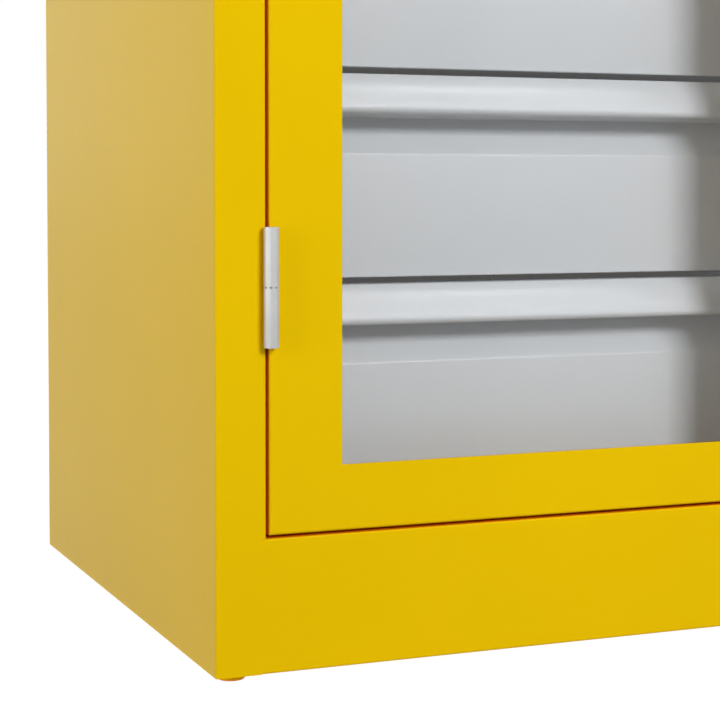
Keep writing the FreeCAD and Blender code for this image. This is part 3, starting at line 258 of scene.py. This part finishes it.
def joined(target, part, matrix=None):
    """Add one bmesh to another, moved by a matrix."""
    if matrix is not None:
        bmesh.ops.transform(part, matrix=matrix, verts=part.verts)
    mesh = bpy.data.meshes.new("part")
    part.to_mesh(mesh)
    part.free()
    target.from_mesh(mesh)
    bpy.data.meshes.remove(mesh)
    return target


def place(x=0, y=0, z=0, turn=None):
    """Matrix that turns a part and then sets it down, in millimetres."""
    return Matrix.Translation(Vector((x, y, z)) * MM) @ (turn or Matrix.Identity(4))


def mirrored(side):
    """Matrix that keeps a left-hand part or makes its right-hand twin."""
    return Matrix.Diagonal((-SIDES[side], 1, 1, 1))


def facing(x=0, y=0, z=0):
    """Turn that points a part's own up axis along a direction."""
    return Vector((x, y, z)).to_track_quat("Z", "Y").to_matrix().to_4x4()


def moved(part, matrix):
    """The same part, moved by a matrix."""
    bmesh.ops.transform(part, matrix=matrix, verts=part.verts)
    return part


def soften(bm, edges, radius, segments=2):
    """Round some edges of a part."""
    bmesh.ops.bevel(bm, geom=edges, offset=radius, offset_type="OFFSET", segments=segments,
                    profile=0.5, affect="EDGES", material=-1)
    return bm


def slab(low, high, radius):
    """Box between two corners in millimetres, with softened edges."""
    bm = bmesh.new()
    bmesh.ops.create_cube(bm, size=1)
    low, high = Vector(low) * MM, Vector(high) * MM
    bmesh.ops.scale(bm, verts=bm.verts, vec=high - low)
    bmesh.ops.translate(bm, verts=bm.verts, vec=(low + high) / 2)
    return soften(bm, bm.edges[:], radius)


def turned(points, steps=48):
    """Solid of revolution about Z from (radius, height) points in millimetres."""
    bm = bmesh.new()
    verts = [bm.verts.new((r * MM, 0, z * MM)) for r, z in points]
    edges = [bm.edges.new(pair) for pair in zip(verts, verts[1:])]
    bmesh.ops.spin(bm, geom=verts + edges, cent=(0, 0, 0), axis=(0, 0, 1),
                   angle=2 * math.pi, steps=steps, use_merge=True)
    bmesh.ops.remove_doubles(bm, verts=bm.verts, dist=1e-7)
    bmesh.ops.recalc_face_normals(bm, faces=bm.faces)
    return bm


def outline(bm, points, height):
    """Closed loop of edges through (x, y) points in millimetres."""
    verts = [bm.verts.new((x * MM, y * MM, height * MM)) for x, y in points]
    return [bm.edges.new(pair) for pair in zip(verts, verts[1:] + verts[:1])]


def arc(centre, radius, start, end, steps):
    """Points along an arc, in millimetres."""
    angles = [start + (end - start) * i / steps for i in range(steps + 1)]
    return [(centre[0] + radius * math.cos(a), centre[1] + radius * math.sin(a)) for a in angles]


def recessed_head(points, recess, depth, steps=32):
    """Turned piece whose flat top has a recess with straight walls."""
    bm = turned(points[:-1], steps)
    top = points[-2][1] * MM
    rim = [e for e in bm.edges if e.is_boundary and all(abs(v.co.z - top) < 1e-7 for v in e.verts)]
    hole = outline(bm, recess, points[-2][1])
    bmesh.ops.triangle_fill(bm, use_beauty=True, edges=rim + hole)
    walls = bmesh.ops.extrude_edge_only(bm, edges=hole)["geom"]
    low = [g for g in walls if isinstance(g, bmesh.types.BMVert)]
    bmesh.ops.translate(bm, verts=low, vec=(0, 0, -depth * MM))
    floor = [g for g in walls if isinstance(g, bmesh.types.BMEdge)]
    bmesh.ops.contextual_create(bm, geom=floor)
    return bm


def cross(reach, half):
    """Plus-shaped outline of a cross recess."""
    arm = [(reach, -half), (reach, half), (half, half)]
    points = []
    for quarter in range(4):
        turn = Matrix.Rotation(quarter * math.pi / 2, 2)
        points += [tuple(turn @ Vector(p)) for p in arm]
    return points


class CABINET_OT_feet(bpy.types.Operator):
    """Turned button feet with rounded edges, on their studs"""
    bl_idname = "cabinet.feet"
    bl_label = "Feet"

    def execute(self, context):
        feet = bmesh.new()
        for x, y in FEET:
            pad = turned([(0, 0), (8.2, 0), (9.1, 0.25), (9.75, 0.9), (10, 1.8), (10, 4.3),
                          (9.8, 4.8), (9.3, 5), (7, 5), (7, 6.5), (4, 6.5), (4, 21.5),
                          (3.5, 22), (0, 22)])
            joined(feet, pad, place(x, y))
        piece("button_feet", feet, "cabinet", "body_paint", ["feet"])
        return {"FINISHED"}


class CABINET_OT_hinges(bpy.types.Operator):
    """Octagonal hinge barrels with their leaves in the door gaps"""
    bl_idname = "cabinet.hinges"
    bl_label = "Hinges"

    def barrel(self, sizes, joint):
        """One half, its corners cut at both ends and notched where the halves meet."""
        bm = bmesh.new()
        corner = sizes.knuckle_flats / 2 / math.cos(math.pi / 8)
        bmesh.ops.create_circle(bm, segments=8, radius=corner, cap_ends=True)
        bmesh.ops.rotate(bm, verts=bm.verts, matrix=Matrix.Rotation(math.pi / 8, 3, "Z"))
        top = bmesh.ops.extrude_face_region(bm, geom=bm.faces[:])["geom"]
        lifted = [g for g in top if isinstance(g, bmesh.types.BMVert)]
        bmesh.ops.translate(bm, verts=lifted, vec=(0, 0, sizes.knuckle_length))
        bmesh.ops.recalc_face_normals(bm, faces=bm.faces)
        bmesh.ops.bevel(bm, geom=bm.verts[:], offset=sizes.knuckle_corner,
                        offset_type="OFFSET", segments=1, profile=0.5, affect="VERTICES",
                        material=-1)
        long_edges = [e for e in bm.edges if e.calc_length() > sizes.knuckle_length / 2]
        soften(bm, long_edges, sizes.edge)
        bm.normal_update()
        sills = [e for e in bm.edges if all(abs(v.co.z - joint) < 1e-6 for v in e.verts)
                 and any(0.1 < abs(f.normal.z) < 0.95 for f in e.link_faces)]
        split = bmesh.ops.subdivide_edges(bm, edges=sills, cuts=1)["geom_inner"]
        middles = [g for g in split if isinstance(g, bmesh.types.BMVert)]
        bmesh.ops.scale(bm, verts=middles, vec=(0.72, 0.72, 1))
        bmesh.ops.triangulate(bm, faces=[f for f in bm.faces if len(f.verts) > 4
                                         or any(v in middles for v in f.verts)])
        return bm

    def half(self, sizes, low, joint, leaf_x):
        """Barrel and leaf of a left-hand half whose lower end is at a height."""
        bm = moved(self.barrel(sizes, joint), place(-HINGE_X, HINGE_Y, low))
        reach = sizes.knuckle_flats / MM / 2
        leaf = slab((leaf_x, HINGE_Y + reach - LEAF_GAUGE, low + LEAF_MARGIN),
                    (leaf_x + LEAF_GAUGE, FRONT + LEAF_DEPTH,
                     low + sizes.knuckle_length / MM - LEAF_MARGIN), sizes.edge / 2)
        return joined(bm, leaf)

    def execute(self, context):
        sizes = context.scene.cabinet_sizes
        length = sizes.knuckle_length / MM
        frame_halves = bmesh.new()
        for side in SIDES:
            door_halves = bmesh.new()
            for centre in HINGE_HEIGHTS:
                lower = self.half(sizes, centre - HINGE_PLAY - length, sizes.knuckle_length,
                                  -JAMB_X)
                joined(frame_halves, lower, mirrored(side))
                upper = self.half(sizes, centre + HINGE_PLAY, 0, -DOOR_EDGE_X - LEAF_GAUGE)
                joined(door_halves, upper, mirrored(side))
            piece(f"{side}_door_hinge_barrels", door_halves, f"{side}_door", "zinc_steel",
                  [f"{side}_door_hinge_halves"])
        piece("frame_hinge_barrels", frame_halves, "cabinet", "zinc_steel",
              ["frame_hinge_halves"])
        return {"FINISHED"}


class CABINET_OT_screws(bpy.types.Operator):
    """Countersunk hinge screws with cross recesses"""
    bl_idname = "cabinet.screws"
    bl_label = "Hinge screws"

    def screw(self, sizes):
        """Shank and cone under a flat head with a cross recess."""
        head, shank, length = sizes.screw_head / MM / 2, 2, 7
        profile = [(0, -length), (shank, -length), (shank, -0.8), (head, -0.12), (head, 0.03),
                   (0, 0.03)]
        return recessed_head(profile, cross(1.5, 0.35), 1.2, 24)

    def execute(self, context):
        sizes = context.scene.cabinet_sizes
        middle = HINGE_PLAY + sizes.knuckle_length / MM / 2
        frame_screws = bmesh.new()
        for side in SIDES:
            door_screws = bmesh.new()
            for centre in HINGE_HEIGHTS:
                for step in (-SCREW_STEP, SCREW_STEP):
                    joined(frame_screws, self.screw(sizes), mirrored(side) @ place(
                        LEAF_GAUGE - JAMB_X, FRONT + SCREW_DEPTH, centre - middle + step,
                        facing(x=1)))
                    joined(door_screws, self.screw(sizes), mirrored(side) @ place(
                        -DOOR_EDGE_X - LEAF_GAUGE, FRONT + SCREW_DEPTH, centre + middle + step,
                        facing(x=-1)))
            piece(f"{side}_door_screws", door_screws, f"{side}_door", "zinc_steel",
                  [f"{side}_door_hinge_screws"])
        piece("frame_screws", frame_screws, "cabinet", "zinc_steel", ["frame_hinge_screws"])
        return {"FINISHED"}


class CABINET_OT_rollers(bpy.types.Operator):
    """Moulded rollers of the cabinet's runners and the drawers' rails"""
    bl_idname = "cabinet.rollers"
    bl_label = "Rollers"

    def roller(self, sizes):
        """A wheel with a raised rim and hub on either face."""
        r, w = sizes.roller / MM / 2, sizes.roller_width / MM
        return turned([(3, 0), (5, 0), (5.4, 0.5), (r - 2, 0.5), (r - 1.6, 0), (r - 0.5, 0),
                       (r, 0.5), (r, w - 0.5), (r - 0.5, w), (r - 1.6, w), (r - 2, w - 0.5),
                       (5.4, w - 0.5), (5, w), (3, w), (3, 0)], 40)

    def rail(self, sizes):
        """Left-hand angle rail of a drawer, folded from one strip."""
        gauge, flange, drop = 1.2, 10.5, 20
        bm = bmesh.new()
        low, high = -141.8, 247.2
        path = [(-TRAY_X - flange, FLANGE_Z + gauge), (-TRAY_X, FLANGE_Z + gauge),
                (-TRAY_X, FLANGE_Z - drop)]
        verts = [bm.verts.new(Vector((x, low, z)) * MM) for x, z in path]
        strip = [bm.edges.new(pair) for pair in zip(verts, verts[1:])]
        grown = bmesh.ops.extrude_edge_only(bm, edges=strip)["geom"]
        bmesh.ops.translate(bm, verts=[g for g in grown if isinstance(g, bmesh.types.BMVert)],
                            vec=(0, (high - low) * MM, 0))
        fold = [e for e in bm.edges if len(e.link_faces) == 2]
        soften(bm, fold, 1.8 * MM, 4)
        bmesh.ops.recalc_face_normals(bm, faces=bm.faces)
        faces = bm.faces[:]
        top = max(faces, key=lambda f: f.calc_center_median().z)
        if top.normal.z < 0:
            bmesh.ops.reverse_faces(bm, faces=faces)
        bmesh.ops.solidify(bm, geom=faces, thickness=gauge * MM)
        return bm

    def axle(self):
        """Riveted axle with a rounded end."""
        return turned([(0, 0), (3, 0), (3, 6.6), (2.6, 7), (0, 7)], 24)

    def execute(self, context):
        sizes = context.scene.cabinet_sizes
        cabinet_wheels = bmesh.new()
        for step, number in enumerate(DRAWERS):
            height = ROLLER_Z + step * PITCH
            rails, wheels = bmesh.new(), bmesh.new()
            for side in SIDES:
                hand = mirrored(side)
                joined(cabinet_wheels, self.roller(sizes),
                       hand @ place(*CABINET_ROLLER, height, facing(x=1)))
                joined(wheels, self.roller(sizes),
                       hand @ place(*DRAWER_ROLLER, height, facing(x=1)))
                joined(rails, self.rail(sizes), hand @ place(z=step * PITCH))
                joined(rails, self.axle(), hand @ place(*DRAWER_AXLE, height, facing(x=-1)))
            body = f"drawer_{number}"
            piece(f"{body}_rails", rails, body, "zinc_steel", [f"{body}_runners"])
            piece(f"{body}_wheels", wheels, body, "roller_plastic")
        piece("cabinet_wheels", cabinet_wheels, "cabinet", "roller_plastic",
              ["cabinet_rollers"])
        return {"FINISHED"}


class CABINET_OT_fronts(bpy.types.Operator):
    """Folded drawer fronts with rounded bends and rolled grips"""
    bl_idname = "cabinet.fronts"
    bl_label = "Drawer fronts"

    def section(self, height):
        """Outer line of the sheet from its bottom turn over the grip to its rear drop."""
        grip, lip, crown = Vector((21, 26.4)), Vector((-16, 33)), Vector((-1.5, 57))
        crown_radius, lip_radius = 45, 3.6
        chord = crown - lip
        sag = math.sqrt(crown_radius ** 2 - (chord.length / 2) ** 2)
        centre = (crown + lip) / 2 + Vector((chord.y, -chord.x)).normalized() * sag
        lip_centre = lip + (centre - lip).normalized() * lip_radius
        reach = grip - lip_centre
        touch = math.atan2(reach.y, reach.x) - math.acos(lip_radius / reach.length)
        front = math.atan2(lip.y - centre.y, lip.x - centre.x)
        top = math.atan2(crown.y - centre.y, crown.x - centre.x)
        rolled = arc(lip_centre, lip_radius, touch, front - 2 * math.pi, 8)
        domed = arc(centre, crown_radius, front, top, 16)
        foot = crown.y - height
        return [(14, foot), (0, foot), (0, 0), tuple(grip), *rolled, *domed[1:],
                (22.2, crown.y), (22.2, crown.y - 14)]

    def sheet(self, points):
        """The folded sheet along the section, with rounded bends."""
        bm = bmesh.new()
        verts = [bm.verts.new(Vector((-FRONT_WIDTH / 2, y, z)) * MM) for y, z in points]
        strip = [bm.edges.new(pair) for pair in zip(verts, verts[1:])]
        grown = bmesh.ops.extrude_edge_only(bm, edges=strip)["geom"]
        bmesh.ops.translate(bm, verts=[g for g in grown if isinstance(g, bmesh.types.BMVert)],
                            vec=(FRONT_WIDTH * MM, 0, 0))
        bends = [e for e in bm.edges if len(e.link_faces) == 2
                 and e.calc_face_angle() > math.radians(20)]
        soften(bm, bends, 0.9 * MM, 4)
        bmesh.ops.recalc_face_normals(bm, faces=bm.faces)
        foremost = min(bm.faces, key=lambda f: f.calc_center_median().y)
        if foremost.normal.y > 0:
            bmesh.ops.reverse_faces(bm, faces=bm.faces)
        bmesh.ops.solidify(bm, geom=bm.faces[:], thickness=1.2 * MM)
        return bm

    def cap(self, points):
        """Flat end that closes the section at its left side."""
        bm = bmesh.new()
        left = 0.02 - FRONT_WIDTH / 2
        verts = [bm.verts.new(Vector((left, y, z)) * MM) for y, z in [*points, (22.2, 12.4)]]
        face = bm.faces.new(verts)
        grown = bmesh.ops.extrude_face_region(bm, geom=[face])["geom"]
        bmesh.ops.translate(bm, verts=[g for g in grown if isinstance(g, bmesh.types.BMVert)],
                            vec=(1.2 * MM, 0, 0))
        bmesh.ops.triangulate(bm, faces=[f for f in bm.faces if len(f.verts) > 4])
        return bm

    def execute(self, context):
        for step, number in enumerate(DRAWERS):
            height = SHALLOW_HEIGHT if number == 6 else FRONT_HEIGHT
            points = self.section(height)
            front = self.sheet(points)
            for side in SIDES:
                joined(front, self.cap(points), mirrored(side))
            moved(front, place(y=GRIP_Y, z=GRIP_Z + step * PITCH + height - FRONT_HEIGHT))
            body = f"drawer_{number}"
            piece(f"{body}_folded_front", front, body, "drawer_paint", [f"{body}_front"])
        return {"FINISHED"}


class CABINET_OT_handle(bpy.types.Operator):
    """Tapered lever on a turned hub, over a rounded rose"""
    bl_idname = "cabinet.handle"
    bl_label = "Handle"

    def lever(self):
        """Cage of the lever, drawn out of a square face in steps."""
        bm = bmesh.new()
        bmesh.ops.create_grid(bm, x_segments=1, y_segments=1, size=0.5)
        bmesh.ops.transform(bm, verts=bm.verts, matrix=facing(x=1))
        root, thickness, width = -4, 9, 16
        bmesh.ops.scale(bm, verts=bm.verts, vec=Vector((0, thickness, width)) * MM)
        bmesh.ops.translate(bm, verts=bm.verts, vec=Vector((root, 0, 0)) * MM)
        tip = next(iter(bm.faces))
        steps = ((14, 1), (36, 0.93), (60, 0.86), (84, 0.79), (104, 0.62))
        for step, (reach, share) in enumerate(steps):
            x = tip.calc_center_median().x
            grown = bmesh.ops.extrude_face_region(bm, geom=[tip])["geom"]
            if step:
                bmesh.ops.delete(bm, geom=[tip], context="FACES_ONLY")
            tip = next(g for g in grown if isinstance(g, bmesh.types.BMFace))
            bmesh.ops.translate(bm, verts=tip.verts, vec=(reach * MM - x, 0, 0))
            now = max(v.co.z for v in tip.verts) * 2
            bmesh.ops.scale(bm, verts=tip.verts, vec=(1, 1, width * share * MM / now))
        bmesh.ops.recalc_face_normals(bm, faces=bm.faces)
        return bm

    def execute(self, context):
        bm = self.lever()
        long_edges = [e for e in bm.edges if abs(e.verts[0].co.x - e.verts[1].co.x) > 5 * MM]
        soften(bm, long_edges, 2.2 * MM, 3)
        ends = [e for e in bm.edges if min(v.co.x for v in e.verts) > 103.9 * MM]
        soften(bm, ends, 2.5 * MM, 3)
        handle = moved(bm, place(LOCK_X, HUB_FRONT + 5, LOCK_Z))
        hub = turned([(0, 0), (9.6, 0), (11, 0.5), (11.8, 1.4), (12, 2.6), (12, 29.9),
                      (11.6, 30.7), (5, 30.7), (5, 46), (0, 46)])
        joined(handle, hub, place(LOCK_X, HUB_FRONT, LOCK_Z, facing(y=1)))
        piece("turn_handle", handle, "lock_handle", "black_plastic", ["handle"])

        width, thickness, height = 30, 5, 96
        rose = bmesh.new()
        bmesh.ops.create_cube(rose, size=1)
        bmesh.ops.scale(rose, verts=rose.verts, vec=Vector((width, thickness, height)) * MM)
        soften(rose, [e for e in rose.edges if e.calc_length() < 6 * MM], 10 * MM, 6)
        face = [e for e in rose.edges if max(v.co.y for v in e.verts) < -2.4 * MM
                and len({round(f.normal.y, 2) for f in e.link_faces}) > 1]
        soften(rose, face, 1.6 * MM, 3)
        moved(rose, place(LOCK_X, FRONT - thickness / 2, PLATE_Z))
        piece("handle_plate", rose, "right_door", "black_plastic", ["handle_rose"])
        return {"FINISHED"}


class CABINET_OT_key_core(bpy.types.Operator):
    """Faced key core with its slot"""
    bl_idname = "cabinet.key_core"
    bl_label = "Key core"

    def execute(self, context):
        r, length, seat = context.scene.cabinet_sizes.key_core / MM / 2, 8.2, 1.2
        core = recessed_head([(0, 0), (r, 0), (r, length - 0.4), (r - 0.4, length), (0, length)],
                             [(1.1, -4.3), (1.1, 4.3), (-1.1, 4.3), (-1.1, -4.3)], 2.5, 48)
        moved(core, place(LOCK_X, FRONT + seat, KEY_Z, facing(y=-1)))
        piece("lock_key_core", core, "lock_core", "bright_metal", ["key_core"])
        return {"FINISHED"}


class CABINET_OT_finishes(bpy.types.Operator):
    """Give every packed sub-part the finish of its material slot"""
    bl_idname = "cabinet.finishes"
    bl_label = "Finishes"

    def execute(self, context):
        finish = finishes()
        for part in frame["record"]["subparts"]:
            mesh = frame["nodes"][part["node"]].data
            mesh.materials.clear()
            mesh.materials.append(finish[part["material_slot"]])
        return {"FINISHED"}


class CABINET_OT_stage(bpy.types.Operator):
    """Plain floor, soft light and the camera of the photograph"""
    bl_idname = "cabinet.stage"
    bl_label = "Stage"

    def execute(self, context):
        self.floor()
        self.world(context.scene)
        self.lamps()
        self.camera(context.scene)
        context.scene.view_settings.view_transform = "Standard"
        return {"FINISHED"}

    def floor(self):
        """White paper: nearly white to the eye, dull to the light that it throws back."""
        bm = bmesh.new()
        bmesh.ops.create_grid(bm, x_segments=1, y_segments=1, size=30)
        mesh = bpy.data.meshes.new("floor")
        bm.to_mesh(mesh)
        bm.free()
        floor = bpy.data.objects.new("floor", mesh)
        bpy.context.scene.collection.objects.link(floor)
        finish, tree, output = new_finish("pale floor")
        tint = tuple(bpy.context.scene.cabinet_colours.floor)
        path = add_node(tree, "ShaderNodeLightPath")
        where = add_node(tree, "ShaderNodeTexCoord")
        axes = add_node(tree, "ShaderNodeSeparateXYZ", links={0: where.outputs["Object"]})
        # Mirrored, the floor is about as bright as the tent over it.
        depth = add_node(tree, "ShaderNodeMapRange",
                         values={"From Min": -0.6, "From Max": 0.6, "To Min": 1.0,
                                 "To Max": 1.2},
                         links={"Value": axes.outputs["Y"]})
        mirrored = add_node(tree, "ShaderNodeEmission", links={"Strength": depth.outputs[0]})
        matt = add_node(tree, "ShaderNodeBsdfDiffuse", values={"Color": tint})
        white = add_node(tree, "ShaderNodeEmission", values={"Strength": 1.21})
        paper = add_node(tree, "ShaderNodeMixShader", values={0: 0.8},
                         links={1: matt.outputs[0], 2: white.outputs[0]})
        image = add_node(tree, "ShaderNodeMath", {"operation": "MAXIMUM"},
                         links={0: path.outputs["Is Glossy Ray"],
                                1: path.outputs["Is Transmission Ray"]})
        dull = add_node(tree, "ShaderNodeBsdfDiffuse", values={"Color": (0.4, 0.4, 0.4, 1)})
        unseen = add_node(tree, "ShaderNodeMixShader",
                          links={0: image.outputs[0], 1: dull.outputs[0],
                                 2: mirrored.outputs[0]})
        both = add_node(tree, "ShaderNodeMixShader",
                        links={0: path.outputs["Is Camera Ray"], 1: unseen.outputs[0],
                               2: paper.outputs[0]})
        tree.links.new(both.outputs[0], output.inputs["Surface"])
        mesh.materials.append(finish)

    def world(self, scene):
        """White studio: dim to matt surfaces, bright in mirrored images and behind all."""
        world = bpy.data.worlds.new("studio")
        world.use_nodes = True
        tree = world.node_tree
        tree.nodes.clear()
        output = add_node(tree, "ShaderNodeOutputWorld")
        path = add_node(tree, "ShaderNodeLightPath")
        where = add_node(tree, "ShaderNodeTexCoord")
        axes = add_node(tree, "ShaderNodeSeparateXYZ", links={0: where.outputs["Generated"]})
        # The white tent is brightest behind the object, where its side mirrors it.
        glow = add_node(tree, "ShaderNodeMapRange",
                        values={"From Min": 0.2, "From Max": 0.9, "To Min": 1.0,
                                "To Max": 1.7},
                        links={"Value": axes.outputs["Y"]})
        ambient = add_node(tree, "ShaderNodeBackground",
                           values={"Color": (1, 1, 1, 1), "Strength": 0.235})
        tent = add_node(tree, "ShaderNodeBackground", values={"Color": (1, 1, 1, 1)},
                        links={"Strength": glow.outputs[0]})
        white = add_node(tree, "ShaderNodeBackground",
                         values={"Color": (1, 1, 1, 1), "Strength": 1.0})
        mirrored = add_node(tree, "ShaderNodeMixShader",
                            links={0: path.outputs["Is Glossy Ray"], 1: ambient.outputs[0],
                                   2: tent.outputs[0]})
        seen = add_node(tree, "ShaderNodeMath", {"operation": "MAXIMUM"},
                        links={0: path.outputs["Is Camera Ray"],
                               1: path.outputs["Is Transmission Ray"]})
        both = add_node(tree, "ShaderNodeMixShader",
                        links={0: seen.outputs[0], 1: mirrored.outputs[0], 2: white.outputs[0]})
        tree.links.new(both.outputs[0], output.inputs["Surface"])
        scene.world = world

    def lamps(self):
        """Each lamp's place, target, size and power, and whether it lights and is mirrored."""
        middle = Vector((0, -0.2, 0.45))
        for name, spot, target, width, height, power, lights, mirrored in (
            ("key light", (0.6, -3.36, 1.84), middle, 1.4, 0.9, 102, True, False),
            ("high light", (1.0, -1.3, 2.88), middle, 0.5, 0.5, 13, False, True),
            ("side light", (-3.4, -0.7, 0.7), middle, 2.2, 2.2, 60, True, True),
            ("top light", (0.2, -0.2, 3.4), middle, 2.4, 2.4, 24, True, True),
            ("back light", (1.9, 2.9, 1.6), middle, 2.4, 2.4, 70, True, False),
            # White paper under the object throws light back up at its feet.
            ("paper light", (0, 0.018, 0.0005), Vector((0, 0.018, 1)), 0.94, 0.5, 0.6, True,
             False),
        ):
            lamp = bpy.data.lights.new(name, "AREA")
            lamp.shape = "RECTANGLE"
            lamp.size, lamp.size_y = width, height
            lamp.energy = power
            holder = bpy.data.objects.new(name, lamp)
            holder.location = spot
            holder.rotation_mode = "QUATERNION"
            holder.rotation_quaternion = (target - Vector(spot)).to_track_quat("-Z", "Y")
            holder.visible_diffuse = lights
            holder.visible_glossy = mirrored
            bpy.context.scene.collection.objects.link(holder)

    def camera(self, scene):
        """Placed by the edges of the side, the plinth and the door in the picture."""
        lens = bpy.data.cameras.new("camera")
        lens.sensor_width = 36
        lens.lens = 1841.1 / 720 * lens.sensor_width
        lens.shift_y = -0.13
        lens.clip_start = 0.05
        eye = bpy.data.objects.new("camera", lens)
        eye.location = Vector((-832.3, -1385.5, 331.9)) * MM
        yaw, pitch, roll = (math.radians(a) for a in (22.170, 2.502, 0.027))
        eye.rotation_mode = "QUATERNION"
        turn = (Matrix.Rotation(-yaw, 3, "Z") @ Matrix.Rotation(math.pi / 2 - pitch, 3, "X")
                @ Matrix.Rotation(roll, 3, "Z"))
        eye.rotation_quaternion = turn.to_quaternion()
        scene.collection.objects.link(eye)
        scene.camera = eye


class VIEW3D_PT_cabinet(bpy.types.Panel):
    bl_label = "Storage cabinet"
    bl_space_type = "VIEW_3D"
    bl_region_type = "UI"
    bl_category = "Cabinet"

    def draw(self, context):
        for operator in OPERATORS:
            self.layout.operator(operator.bl_idname)
        for group in (context.scene.cabinet_colours, context.scene.cabinet_sizes):
            for key in type(group).__annotations__:
                self.layout.prop(group, key)


OPERATORS = (
    CABINET_OT_finishes, CABINET_OT_feet, CABINET_OT_hinges, CABINET_OT_screws,
    CABINET_OT_rollers, CABINET_OT_fronts, CABINET_OT_handle, CABINET_OT_key_core,
    CABINET_OT_stage,
)
CLASSES = (CabinetColours, CabinetSizes, *OPERATORS, VIEW3D_PT_cabinet)


def register():
    for cls in CLASSES:
        bpy.utils.register_class(cls)
    bpy.types.Scene.cabinet_colours = bpy.props.PointerProperty(type=CabinetColours)
    bpy.types.Scene.cabinet_sizes = bpy.props.PointerProperty(type=CabinetSizes)


def unregister():
    del bpy.types.Scene.cabinet_sizes
    del bpy.types.Scene.cabinet_colours
    for cls in reversed(CLASSES):
        bpy.utils.unregister_class(cls)


def main():
    register()
    for operator in OPERATORS:
        group, name = operator.bl_idname.split(".")
        getattr(getattr(bpy.ops, group), name)()


if __name__ == "__main__":
    main()
